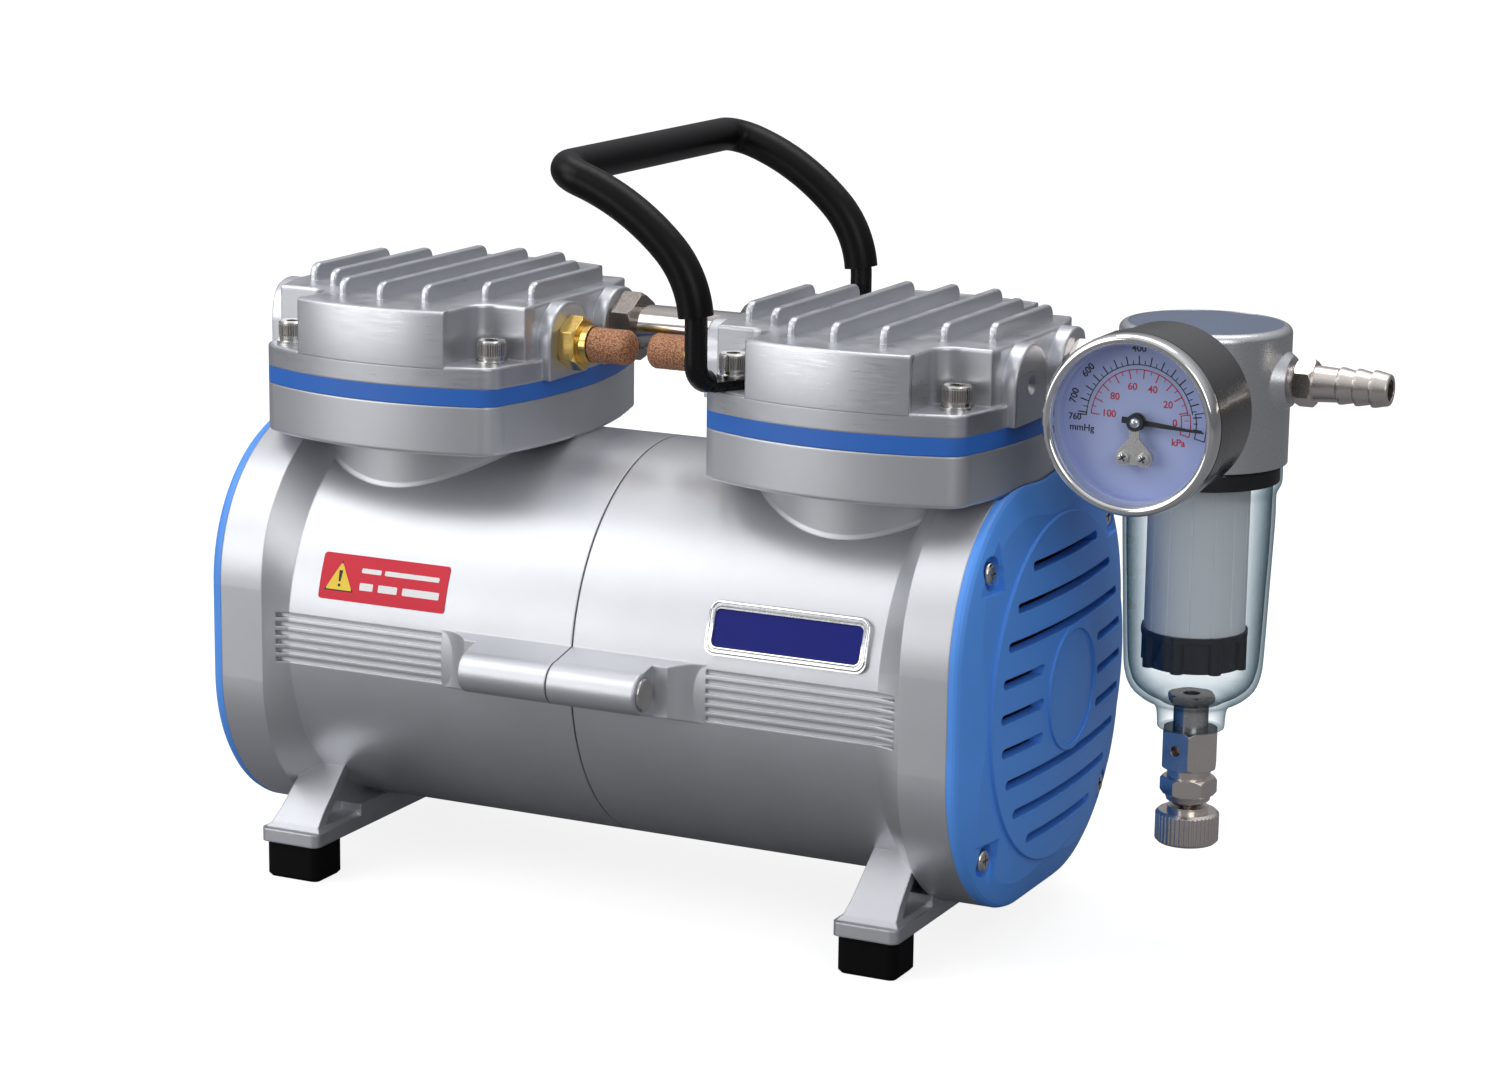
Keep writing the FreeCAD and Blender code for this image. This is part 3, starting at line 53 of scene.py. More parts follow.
DIAL = centre("gauge_dial")
DIAL_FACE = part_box("gauge_dial")[0].y
BARREL = centre("rotor_core")
BARREL_R = 63.0
BOWL = centre("filter_bowl")
BARB_LOW, BARB_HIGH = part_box("hose_barb")


# ---- materials --------------------------------------------------------------------------
def new_material(name):
    mat = bpy.data.materials.new(name)
    mat.use_nodes = True
    tree = mat.node_tree
    return mat, tree, tree.nodes["Principled BSDF"]


def coords(tree, stretch=(1, 1, 1)):
    tex = tree.nodes.new("ShaderNodeTexCoord")
    mapping = tree.nodes.new("ShaderNodeMapping")
    mapping.inputs["Scale"].default_value = stretch
    tree.links.new(tex.outputs["Object"], mapping.inputs["Vector"])
    return mapping.outputs["Vector"]


def noise_node(tree, vector, scale, detail=4.0, rough=0.55):
    n = tree.nodes.new("ShaderNodeTexNoise")
    n.inputs["Scale"].default_value = scale
    n.inputs["Detail"].default_value = detail
    n.inputs["Roughness"].default_value = rough
    tree.links.new(vector, n.inputs["Vector"])
    return n.outputs["Fac"]


def ramp(tree, fac, low, high, c0, c1):
    r = tree.nodes.new("ShaderNodeValToRGB")
    r.color_ramp.elements[0].position = low
    r.color_ramp.elements[1].position = high
    r.color_ramp.elements[0].color = (*c0, 1)
    r.color_ramp.elements[1].color = (*c1, 1)
    tree.links.new(fac, r.inputs["Fac"])
    return r.outputs["Color"]


def spread(tree, fac, low, high):
    m = tree.nodes.new("ShaderNodeMapRange")
    m.inputs["From Min"].default_value = 0.3
    m.inputs["From Max"].default_value = 0.7
    m.inputs["To Min"].default_value = low
    m.inputs["To Max"].default_value = high
    tree.links.new(fac, m.inputs["Value"])
    return m.outputs["Result"]


def surface(name, base, rough, metallic=0.0, vary=0.06, grain=900.0, stretch=(1, 1, 1), bump=0.15,
            depth=0.06, coat=0.0, coat_rough=0.1, spec=0.5, edge=0.0, rough_vary=0.05):
    """Principled surface with patchy colour, uneven gloss and a fine grain in its relief."""
    mat, tree, bsdf = new_material(name)
    fine = noise_node(tree, coords(tree, stretch), grain)
    broad = noise_node(tree, coords(tree), PATCH_SCALE, 3.0)
    dark = tuple(c * (1 - vary) for c in base)
    light = tuple(min(1.0, c * (1 + vary)) for c in base)
    tree.links.new(ramp(tree, broad, 0.3, 0.7, dark, light), bsdf.inputs["Base Color"])
    tree.links.new(spread(tree, fine, rough - rough_vary, rough + rough_vary), bsdf.inputs["Roughness"])
    bsdf.inputs["Metallic"].default_value = metallic
    bsdf.inputs["Specular IOR Level"].default_value = spec
    bsdf.inputs["Coat Weight"].default_value = coat
    bsdf.inputs["Coat Roughness"].default_value = coat_rough
    relief = tree.nodes.new("ShaderNodeBump")
    relief.inputs["Strength"].default_value = bump
    relief.inputs["Distance"].default_value = depth * MM
    tree.links.new(fine, relief.inputs["Height"])
    if edge:
        bevel = tree.nodes.new("ShaderNodeBevel")
        bevel.samples = 4
        bevel.inputs["Radius"].default_value = edge * MM
        tree.links.new(bevel.outputs["Normal"], relief.inputs["Normal"])
    tree.links.new(relief.outputs["Normal"], bsdf.inputs["Normal"])
    return mat


def clear(name, tint, edge_tint, gloss, least=0.04, most=0.55):
    """Thin clear wall: tinted see-through, darker where it is seen edge on, with a reflection."""
    mat, tree, bsdf = new_material(name)
    tree.nodes.remove(bsdf)
    out = tree.nodes["Material Output"]
    through = tree.nodes.new("ShaderNodeBsdfTransparent")
    shine = tree.nodes.new("ShaderNodeBsdfGlossy")
    weight = tree.nodes.new("ShaderNodeLayerWeight")
    power = tree.nodes.new("ShaderNodeMath")
    share = tree.nodes.new("ShaderNodeMapRange")
    mix = tree.nodes.new("ShaderNodeMixShader")
    weight.inputs["Blend"].default_value = 0.5
    power.operation = "POWER"
    power.inputs[1].default_value = 4.0
    share.inputs["To Min"].default_value = least
    share.inputs["To Max"].default_value = most
    shine.inputs["Roughness"].default_value = gloss
    shine.inputs["Color"].default_value = (1, 1, 1, 1)
    tree.links.new(weight.outputs["Facing"], power.inputs[0])
    tree.links.new(power.outputs["Value"], share.inputs["Value"])
    tree.links.new(ramp(tree, weight.outputs["Facing"], 0.25, 1.0, tint, edge_tint), through.inputs["Color"])
    tree.links.new(share.outputs["Result"], mix.inputs["Fac"])
    tree.links.new(through.outputs["BSDF"], mix.inputs[1])
    tree.links.new(shine.outputs["BSDF"], mix.inputs[2])
    tree.links.new(mix.outputs["Shader"], out.inputs["Surface"])
    return mat


def granular(name, base, dark, size):
    """Sintered bronze: packed grains, darker in the gaps between them as painted shade in the pores."""
    mat, tree, bsdf = new_material(name)
    vector = coords(tree)
    cells = tree.nodes.new("ShaderNodeTexVoronoi")
    cells.inputs["Scale"].default_value = size
    tree.links.new(vector, cells.inputs["Vector"])
    # grain centres keep the base colour and darken towards the gaps: painted shade in the pores
    tree.links.new(ramp(tree, cells.outputs["Distance"], 0.15, 0.75, base, dark), bsdf.inputs["Base Color"])
    tree.links.new(spread(tree, noise_node(tree, vector, size), 0.45, 0.7), bsdf.inputs["Roughness"])
    bsdf.inputs["Metallic"].default_value = 0.35
    relief = tree.nodes.new("ShaderNodeBump")
    relief.invert = True
    relief.inputs["Strength"].default_value = 0.7
    relief.inputs["Distance"].default_value = 0.25 * MM
    tree.links.new(cells.outputs["Distance"], relief.inputs["Height"])
    tree.links.new(relief.outputs["Normal"], bsdf.inputs["Normal"])
    return mat


MATERIALS = {
    "silver": surface("silver_paint", (0.60, 0.61, 0.635), 0.43, 0.85, 0.03, 2600, bump=0.25, depth=0.035,
                      edge=0.7),
    "silver_head": surface("silver_head", (0.58, 0.59, 0.62), 0.36, 0.85, 0.04, 300, (0.35, 0.35, 12.0),
                           bump=0.3, depth=0.03, edge=0.8, rough_vary=0.09),
    "silver_filter": surface("silver_filter", (0.63, 0.64, 0.66), 0.30, 0.9, 0.02, 2400, bump=0.15,
                             depth=0.02, edge=0.5),
    "blue_cover": surface("blue_cover", (0.10, 0.34, 0.93), 0.42, 0.0, 0.04, 1800, bump=0.3,
                          depth=0.03, edge=0.6, spec=0.45),
    "blue_plate": surface("blue_plate", (0.028, 0.15, 0.56), 0.40, 0.0, 0.05, 1300, bump=0.3, depth=0.03,
                          edge=0.4),
    "rubber": surface("rubber_black", (0.003, 0.003, 0.0035), 0.5, 0.0, 0.2, 1600, bump=0.5, depth=0.05,
                      edge=0.5, spec=0.10),
    "sleeve": surface("sleeve_black", (0.004, 0.0035, 0.004), 0.36, 0.0, 0.25, 1400, (1, 0.3, 1), bump=0.3,
                      depth=0.04, spec=0.16),
    "rod_black": surface("rod_black", (0.004, 0.004, 0.0045), 0.28, 0.0, 0.15, 900, bump=0.2, depth=0.03,
                         edge=0.4, spec=0.25),
    "nickel": surface("nickel_warm", (0.80, 0.73, 0.675), 0.24, 1.0, 0.05, 700, (1, 1, 3), bump=0.12,
                      depth=0.02, edge=0.3, rough_vary=0.04),
    "dark_nickel_and_groove_shade": surface("dark_nickel_and_groove_shade", (0.36, 0.32, 0.29), 0.22, 1.0, 0.10, 800, bump=0.2, depth=0.02,
                           edge=0.35),
    "pipe": surface("pipe_steel", (0.52, 0.48, 0.44), 0.13, 1.0, 0.05, 500, (0.2, 3, 3), bump=0.10,
                    depth=0.01),
    "chrome": surface("chrome", (0.80, 0.80, 0.79), 0.09, 1.0, 0.02, 400, bump=0.05, depth=0.01,
                      rough_vary=0.02),
    "chrome_side": surface("chrome_side", (0.62, 0.63, 0.64), 0.26, 1.0, 0.03, 900, (1, 3, 1), bump=0.1,
                           depth=0.01),
    "screw": surface("screw_plated", (0.66, 0.64, 0.61), 0.20, 1.0, 0.12, 900, bump=0.25, depth=0.02,
                     edge=0.25),
    "brass": surface("brass", (0.80, 0.55, 0.17), 0.20, 1.0, 0.08, 700, bump=0.15, depth=0.02, edge=0.35),
    # second colour: painted shade in the pores between the grains
    "sinter": granular("sintered_bronze", (0.70, 0.36, 0.20), (0.26, 0.105, 0.05), 1900.0),
    "gauge_black": surface("gauge_black", (0.018, 0.016, 0.016), 0.24, 0.0, 0.1, 700, bump=0.08, depth=0.01,
                           coat=0.6, coat_rough=0.12),
    "dial": surface("dial_blue", (0.44, 0.50, 0.76), 0.55, 0.0, 0.015, 900, bump=0.05, depth=0.01),
    # black print and pointer; the same black is also painted shade in the bridge screw slots
    "ink_black_and_slot_shade": surface("ink_black_and_slot_shade", (0.006, 0.006, 0.009), 0.5, 0.0, 0.1, 900, bump=0.05, depth=0.01),
    "ink_red": surface("ink_red", (0.55, 0.012, 0.025), 0.5, 0.0, 0.1, 900, bump=0.05, depth=0.01),
    "bridge": surface("bridge_steel", (0.62, 0.60, 0.56), 0.30, 0.8, 0.1, 1200, (4, 1, 1), bump=0.2,
                      depth=0.01, edge=0.15),
    "disc": surface("disc_bluegrey", (0.105, 0.13, 0.20), 0.5, 0.0, 0.04, 1500, bump=0.15, depth=0.01),
    "white_element": surface("white_element", (0.97, 0.975, 0.98), 0.75, 0.0, 0.02, 1500, bump=0.3,
                             depth=0.03),
    "retainer": surface("retainer_dark", (0.012, 0.016, 0.024), 0.34, 0.0, 0.1, 900, bump=0.2, depth=0.02,
                        edge=0.4),
    "navy": surface("navy_gloss", (0.002, 0.008, 0.19), 0.42, 0.0, 0.03, 700, bump=0.04, depth=0.01,
                    spec=0.2),
    "label_red": surface("label_red", (0.70, 0.030, 0.055), 0.5, 0.0, 0.03, 900, bump=0.08, depth=0.01,
                         spec=0.25),
    "label_yellow": surface("label_yellow", (0.90, 0.62, 0.02), 0.4, 0.0, 0.03, 900, bump=0.05, depth=0.01),
    "label_white": surface("label_white", (0.88, 0.87, 0.86), 0.45, 0.0, 0.02, 900, bump=0.05, depth=0.01),
    "nylon": surface("nylon_black", (0.012, 0.012, 0.012), 0.42, 0.0, 0.12, 1200, bump=0.3, depth=0.03,
                     edge=0.4),
    "steel": surface("turned_steel", (0.52, 0.52, 0.52), 0.28, 1.0, 0.08, 500, (8, 1, 1), bump=0.2,
                     depth=0.02),
    "iron": surface("cast_iron", (0.19, 0.19, 0.20), 0.5, 0.7, 0.15, 900, bump=0.6, depth=0.1),
    "laminations": surface("laminations", (0.26, 0.27, 0.29), 0.4, 0.8, 0.1, 350, (14, 0.6, 0.6), bump=0.6,
                           depth=0.1),
    "copper": surface("enamelled_copper", (0.50, 0.17, 0.06), 0.3, 0.9, 0.15, 350, (9, 1, 1), bump=0.8,
                      depth=0.2),
    "alloy": surface("die_cast_alloy", (0.55, 0.56, 0.57), 0.4, 0.9, 0.07, 900, bump=0.4, depth=0.06),
    "ptfe": surface("filled_ptfe", (0.07, 0.055, 0.04), 0.35, 0.0, 0.1, 900, bump=0.1, depth=0.02),
    "grey_can": surface("capacitor_can", (0.45, 0.46, 0.47), 0.4, 0.0, 0.05, 900, bump=0.1, depth=0.02),
    "bowl": clear("bowl_clear", (0.92, 0.94, 0.95), (0.20, 0.28, 0.32), 0.04, 0.03, 0.32),
    "lens": clear("lens_clear", (0.985, 0.99, 1.0), (0.88, 0.92, 0.95), 0.02, 0.02, 0.3),
}

FINISH = {
    "silver": "left_housing right_housing",
    "silver_head": "left_cylinder_head right_cylinder_head",
    "silver_filter": "filter_head",
    "blue_cover": "left_end_cover right_end_cover",
    "blue_plate": "valve_plates",
    "rubber": "rubber_feet bowl_seal",
    "sleeve": "handle_grip",
    "rod_black": "handle_frame",
    "nickel": "hose_barb filter_nipple drain_body drain_knob drain_needle",
    "dark_nickel_and_groove_shade": "pipe_nuts",
    "pipe": "connecting_pipe",
    "chrome": "gauge_bezel",
    "screw": "cover_screws head_screws foot_screws tie_bolt",
    "brass": "silencer_fittings gauge_movement",
    "sinter": "silencer_elements",
    "gauge_black": "gauge_case power_switch_rocker",
    "dial": "gauge_dial",
    "ink_black_and_slot_shade": "gauge_pointer",
    "bridge": "gauge_bridge",
    "disc": "filter_top_disc",
    "white_element": "filter_element",
    "retainer": "element_retainers",
    "navy": "nameplate_face",
    "chrome_side": "nameplate_frame",
    "label_red": "caution_label",
    "nylon": "power_switch_body cable_gland cooling_fans",
    "steel": "motor_shaft left_rod_bearing right_rod_bearing shaft_bearings reed_valves",
    "iron": "eccentrics",
    "laminations": "stator_core rotor_core",
    "copper": "stator_windings",
    "alloy": "left_connecting_rod right_connecting_rod left_piston_clamp right_piston_clamp cylinder_sleeves",
    "ptfe": "left_piston_cup right_piston_cup",
    "grey_can": "capacitor",
    "bowl": "filter_bowl",
    "lens": "gauge_lens",
}
for key, names in FINISH.items():
    for node in names.split():
        mesh = NODES[node].data
        mesh.materials.clear()
        mesh.materials.append(MATERIALS[key])


# ---- mesh helpers -------------------------------------------------------------------------
def make(name, bm, mat, body, smooth):
    """Piece from a finished mesh; edges above the smooth angle stay sharp, and 0 keeps faces flat."""
    mesh = bpy.data.meshes.new(name)
    bmesh.ops.recalc_face_normals(bm, faces=bm.faces[:])
    bm.to_mesh(mesh)
    bm.free()
    mesh.materials.append(MATERIALS[mat])
    obj = bpy.data.objects.new(name, mesh)
    bpy.context.scene.collection.objects.link(obj)
    for p in mesh.polygons:
        p.use_smooth = smooth > 0
    if smooth > 0:
        mesh.set_sharp_from_angle(angle=math.radians(smooth))
    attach(obj, body)
    return obj


def turn_to(axis):
    return Vector((0, 0, 1)).rotation_difference(Vector(axis)).to_matrix()


def smooth_profile(points, steps):
    """Catmull-Rom curve through (radius, height) points, ends kept."""
    pts = [points[0]] + list(points) + [points[-1]]
    out = []
    for i in range(1, len(pts) - 2):
        p0, p1, p2, p3 = (Vector(pts[j]) for j in (i - 1, i, i + 1, i + 2))
        for k in range(steps):
            t = k / steps
            out.append(0.5 * ((2 * p1) + (p2 - p0) * t + (2 * p0 - 5 * p1 + 4 * p2 - p3) * t * t
                              + (3 * p1 - p0 - 3 * p2 + p3) * t ** 3))
    out.append(Vector(points[-1]))
    return [(max(p.x, 0.0), p.y) for p in out]


def lathe(profile, origin, axis=(0, 0, 1), segments=96, bm=None, warp=None):
    """Closed surface turned from (radius, height) points in millimetres about an axis through origin."""
    bm = bm or bmesh.new()
    rot = turn_to(axis)
    rings = []
    for r, h in profile:
        ring = []
        for k in range(segments):
            a = 2 * math.pi * k / segments
            rr, hh = (r, h) if warp is None else warp(r, h, a)
            p = rot @ Vector((rr * math.cos(a), rr * math.sin(a), hh)) * MM + Vector(origin)
            ring.append(bm.verts.new(p))
            if r < 1e-6:
                break
        rings.append(ring)
    for a, b in zip(rings, rings[1:] + rings[:1]):
        if len(a) == 1 and len(b) == 1:
            continue
        for k in range(segments):
            n = (k + 1) % segments
            if len(a) == 1:
                bm.faces.new((a[0], b[n], b[k]))
            elif len(b) == 1:
                bm.faces.new((a[k], a[n], b[0]))
            else:
                bm.faces.new((a[k], a[n], b[n], b[k]))
    return bm


def prism(bm, low, high):
    """Closed block between two outlines of equally many points."""
    low = [bm.verts.new(p) for p in low]
    high = [bm.verts.new(p) for p in high]
    bm.faces.new(low[::-1])
    bm.faces.new(high)
    for i in range(len(low)):
        j = (i + 1) % len(low)
        bm.faces.new((low[i], low[j], high[j], high[i]))


def slab(bm, corners, lift):
    """Closed thin block on three or more corner points, raised along lift."""
    prism(bm, corners, [c + Vector(lift) for c in corners])


def loft(bm, rows, ring=False):
    """Skin over closed sections in a row, closed by an end face each unless they form a ring."""
    count = len(rows[0])
    following = rows[1:] + rows[:1] if ring else rows[1:]
    for a, b in zip(rows, following):
        for k in range(count):
            n = (k + 1) % count
            bm.faces.new((a[k], a[n], b[n], b[k]))
    if not ring:
        bm.faces.new(rows[0][::-1])
        bm.faces.new(rows[-1])


# ---- gauge: printed dial --------------------------------------------------------------------
INK = 0.05 * MM
ZERO, SPAN = -4.0, 183.0
FULL_MMHG, FULL_KPA = 760.0, 101.3
OUTER_ARC, OUTER_LONG, OUTER_SHORT = 16.1, 18.7, 17.4
INNER_ARC, INNER_LONG, INNER_SHORT = 14.7, 12.1, 13.5
ARC_START, ARC_STEPS = 15, 56
NUMBER = 2.9


def mmhg(value):
    return ZERO + SPAN * value / FULL_MMHG


def kpa(value):
    return ZERO + SPAN * value / FULL_KPA


def on_dial(r, degrees):
    a = math.radians(degrees)
    return Vector((DIAL.x + r * MM * math.cos(a), DIAL_FACE, DIAL.z + r * MM * math.sin(a)))


def tick(bm, degrees, r0, r1, width):
    a = math.radians(degrees)
    across = Vector((-math.sin(a), 0, math.cos(a))) * (width * MM / 2)
    p, q = on_dial(r0, degrees), on_dial(r1, degrees)
    slab(bm, (p - across, q - across, q + across, p + across), (0, -INK, 0))


def arc(bm, r, width, start, end, steps):
    for i in range(steps):
        a = start + (end - start) * i / steps
        b = start + (end - start) * (i + 1) / steps
        slab(bm, (on_dial(r - width / 2, a), on_dial(r + width / 2, a), on_dial(r + width / 2, b),
                  on_dial(r - width / 2, b)), (0, -INK, 0))


def zero_field(bm, r0, r1, start, end, width):
    """Outlined field around the zero of a scale."""
    for r in (r0, r1):
        arc(bm, r, width, start, end, 10)
    for degrees in (start, end):
        tick(bm, degrees, r0 - 0.1, r1 + 0.1, width)


def add_text(bm, text, size, u, v, turn=0.0):
    """Generic scale lettering lying on the dial, centred on (u, v) millimetres."""
    curve = bpy.data.curves.new("dial_text", "FONT")
    curve.body = text
    curve.size = size * MM
    curve.align_x, curve.align_y = "CENTER", "CENTER"
    curve.extrude = INK / 2
    curve.offset = 0.045 * MM
    curve.resolution_u = 4
    obj = bpy.data.objects.new("dial_text", curve)
    bpy.context.scene.collection.objects.link(obj)
    bpy.context.view_layer.update()
    mesh = bpy.data.meshes.new_from_object(obj)
    mesh.transform(Matrix.Translation((DIAL.x + u * MM, DIAL_FACE - INK / 2, DIAL.z + v * MM))
                   @ Matrix.Rotation(math.radians(-turn), 4, "Y") @ Matrix.Rotation(math.pi / 2, 4, "X"))
    bpy.data.objects.remove(obj)
    bm.from_mesh(mesh)
    bpy.data.meshes.remove(mesh)


def add_number(bm, value, r, degrees, turn=0.0):
    p = on_dial(r, degrees)
    add_text(bm, str(value), NUMBER, (p.x - DIAL.x) / MM, (p.z - DIAL.z) / MM, turn)


black = bmesh.new()
for value in range(0, 751, 25):
    major = value % 50 == 0
    tick(black, mmhg(value), OUTER_ARC, OUTER_LONG if major else OUTER_SHORT, 0.36 if major else 0.24)
tick(black, mmhg(FULL_MMHG), OUTER_ARC, 18.9, 0.36)
arc(black, OUTER_ARC, 0.28, ZERO + ARC_START, ZERO + SPAN, ARC_STEPS)
zero_field(black, 17.0, 20.0, -12.5, 11.5, 0.3)
for value in (200, 400, 600, 700):
    add_number(black, value, 20.7, mmhg(value), mmhg(value) - 90)
add_text(black, "0", NUMBER, 21.0, -0.6, -94)
add_text(black, "760", 2.6, -19.6, -0.6)
add_text(black, "mmHg", 2.8, -17.4, -3.6)
make("gauge_print_black", black, "ink_black_and_slot_shade", "pump_body", 0)

red = bmesh.new()
for value in range(5, 101, 5):
    major = value % 10 == 0
    tick(red, kpa(value), INNER_LONG if major else INNER_SHORT, INNER_ARC, 0.32 if major else 0.22)
arc(red, INNER_ARC, 0.3, ZERO + ARC_START, kpa(100), ARC_STEPS)
zero_field(red, 12.6, 15.3, -13.0, 11.5, 0.28)
for value in (20, 40, 60, 80):
    add_number(red, value, 9.9, kpa(value))
add_text(red, "100", NUMBER, -9.3, 1.2)
add_text(red, "0", NUMBER, 10.6, 0.2)
add_text(red, "kPa", NUMBER, 11.8, -5.4)
make("gauge_print_red", red, "ink_red", "pump_body", 0)

# ---- gauge: rolled chrome bezel in place of the plain one, black band and spacer behind it ----
BEZEL_LOW, BEZEL_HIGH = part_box("gauge_bezel")
GAUGE_R = (BEZEL_HIGH.z - BEZEL_LOW.z) / 2 / MM


def inward(points):
    """Radius and distance behind the front, from points whose first number counts in from the rim."""
    return [(GAUGE_R - depth, back) for depth, back in points]


def gauge_ring(profile):
    return lathe(profile, (DIAL.x, BEZEL_LOW.y, DIAL.z), (0, 1, 0), 128)


side_wall = [(0.5, 13.2), (0.5, 5.6)]
rolled_rim = [(0.05, 5.2), (0, 4.6), (0, 2.8), (0.2, 1.4), (0.7, 0.45), (1.5, 0.05), (2.3, 0.2), (2.9, 0.8),
              (3.25, 1.8), (3.3, 3.0)]
inner_step = [(3.1, 3.25), (2.45, 3.25), (2.45, 11.6), (1.0, 11.6), (1.0, 13.2)]
bezel_profile = inward(side_wall) + smooth_profile(inward(rolled_rim), 4) + inward(inner_step)
bezel = make("gauge_bezel_rolled", gauge_ring(bezel_profile), "chrome", "pump_body", 50)
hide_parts("gauge_bezel")
case_band = inward([(0.2, 5.6), (0, 5.8), (0, 13.15), (0.4, 13.2), (0.4, 5.6)])
make("gauge_case_band", gauge_ring(case_band), "gauge_black", "pump_body", 40)
spacer = inward([(2.5, 4.95), (2.5, 10.55), (3.3, 10.55), (4.0, 4.95)])
make("gauge_spacer", gauge_ring(spacer), "dial", "pump_body", 50)

# ---- gauge: bright fixing screws, black hub ring and domed hub cap on the pointer bridge ------
BRIDGE_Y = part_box("gauge_bridge")[0].y
STUD_X, STUD_DOWN = 3.0, 10.2
STUD = [(0, 0.04), (1.0, 0.07), (1.5, 0.2), (1.76, 0.5), (1.76, 1.2), (0, 1.2)]
studs, crosses = bmesh.new(), bmesh.new()
for side in (-1, 1):
    spot = Vector((DIAL.x + side * STUD_X * MM, BRIDGE_Y, DIAL.z - STUD_DOWN * MM))
    lathe(STUD, spot, (0, 1, 0), 32, studs)
    # crossed slots drawn as thin black slabs on the heads: painted shade for the recess in each screw
    for turn in (35, 125):
        a = math.radians(turn)
        along = Vector((math.cos(a), 0, math.sin(a))) * 1.15 * MM
        wide = Vector((-math.sin(a), 0, math.cos(a))) * 0.2 * MM
        slab(crosses, (spot - along - wide, spot + along - wide, spot + along + wide, spot - along + wide),
             (0, 0.14 * MM, 0))
make("bridge_screws", studs, "chrome", "pump_body", 40)
make("bridge_screw_slots", crosses, "ink_black_and_slot_shade", "pump_body", 0)
hub = (DIAL.x, BRIDGE_Y, DIAL.z)
make("bridge_hub_ring", lathe([(1.5, 1.0), (2.5, 1.0), (2.5, 1.3), (1.5, 1.3)], hub, (0, 1, 0), 48),
     "ink_black_and_slot_shade", "pump_body", 30)
make("bridge_hub_cap", lathe([(0, 0.0), (0.7, 0.14), (1.25, 0.5), (1.62, 1.1), (0, 1.1)], hub, (0, 1, 0), 48),
     "chrome", "pump_body", 40)

# ---- filter: blown bowl and ribbed element ------------------------------------------------------
BOWL_XY = (BOWL.x, BOWL.y, 0)
collar = [(22.85, 158.0), (22.85, 143.45), (23.6, 143.45), (23.6, 148.3), (24.2, 148.3)]
outer = [(24.3, 147.9), (24.36, 146.0), (24.36, 143.6), (24.1, 142.3), (23.6, 141.2), (23.1, 140.2),
         (22.8, 139.2), (22.72, 137.5), (22.7, 130.0), (21.9, 110.0), (21.1, 90.0), (20.5, 83.4),
         (18.8, 78.8), (15.4, 75.6), (12.2, 73.9), (10.8, 72.2), (10.35, 70.0), (10.2, 67.4), (10.0, 66.3),
         (9.2, 66.05)]
inner = [(5.3, 74.0), (8.3, 74.0), (10.8, 75.4), (14.2, 77.2), (17.4, 80.0), (19.0, 84.0), (19.8, 90.0),
         (20.7, 110.0), (21.5, 130.0), (21.7, 158.0)]
bowl_profile = collar + smooth_profile(outer, 3) + [(5.3, 66.05)] + smooth_profile(inner, 3)
bowl = make("filter_bowl_blown", lathe(bowl_profile, BOWL_XY, segments=128), "bowl", "pump_body",
            40)
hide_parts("filter_bowl")

ELEMENT_LOW, ELEMENT_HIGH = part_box("filter_element")
ELEMENT_R = (ELEMENT_HIGH.x - ELEMENT_LOW.x) / 2 / MM
BORE_R = 9.6
GROOVES = 14


def grooves(r, h, a):
    """Narrow upright grooves around the outside of the element."""
    seam = abs(((a / (2 * math.pi) * GROOVES) % 1.0) - 0.5) * 2
    return (r - (0.35 if seam > 0.93 else 0.0) if r > 12 else r), h


z0, z1 = ELEMENT_LOW.z / MM, ELEMENT_HIGH.z / MM
sleeve = lathe([(ELEMENT_R, z0), (ELEMENT_R, z1), (BORE_R, z1), (BORE_R, z0)], BOWL_XY, segments=280,
               warp=grooves)
element = make("filter_element_sleeve", sleeve, "white_element", "pump_body", 40)
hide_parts("filter_element")

# ---- silencers ----------------------------------------------------------------------------------
SILENCER_LOW, SILENCER_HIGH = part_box("silencer_elements")
SILENCER_Y, SILENCER_Z = (SILENCER_LOW.y + SILENCER_HIGH.y) / 2, (SILENCER_LOW.z + SILENCER_HIGH.z) / 2
SILENCER_R = (SILENCER_HIGH.z - SILENCER_LOW.z) / 2 / MM
SHANK_START, SHANK_LENGTH, SHANK_ROWS = 8.8, 11.8, 26
SHANK_BEHIND = 5.7


def rough_skin(r, h, a):
    """Uneven surface of pressed grains."""
    if r < 1.0:
        return r, h
    p = Vector((r * math.cos(a), r * math.sin(a), h)) * 1.35
    d = 0.16 * noise.noise(p * 1.6) + 0.10 * noise.noise(p * 3.1 + Vector((9, 3, 1)))
    return r + d - 0.10, h + d * 0.5


shank = [(SILENCER_R, SHANK_START + SHANK_LENGTH * i / SHANK_ROWS) for i in range(SHANK_ROWS + 1)]
nose = [(SILENCER_R - 0.25, 21.2), (SILENCER_R - 0.7, 21.8), (SILENCER_R - 1.4, 22.3),
        (SILENCER_R - 2.3, 22.55), (2.0, 22.7), (0.0, 22.75)]
hollow = [(0.0, 19.5), (3.1, 19.5), (3.1, SHANK_START)]
grains = bmesh.new()
for side, reach in ((-1, SILENCER_LOW.x), (1, SILENCER_HIGH.x)):
    origin = (reach + side * SHANK_BEHIND * MM, SILENCER_Y, SILENCER_Z)
    lathe(shank + nose + hollow, origin, (-side, 0, 0), 96, grains, rough_skin)
sinter = make("silencer_grains", grains, "sinter", "pump_body", 60)
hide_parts("silencer_elements")

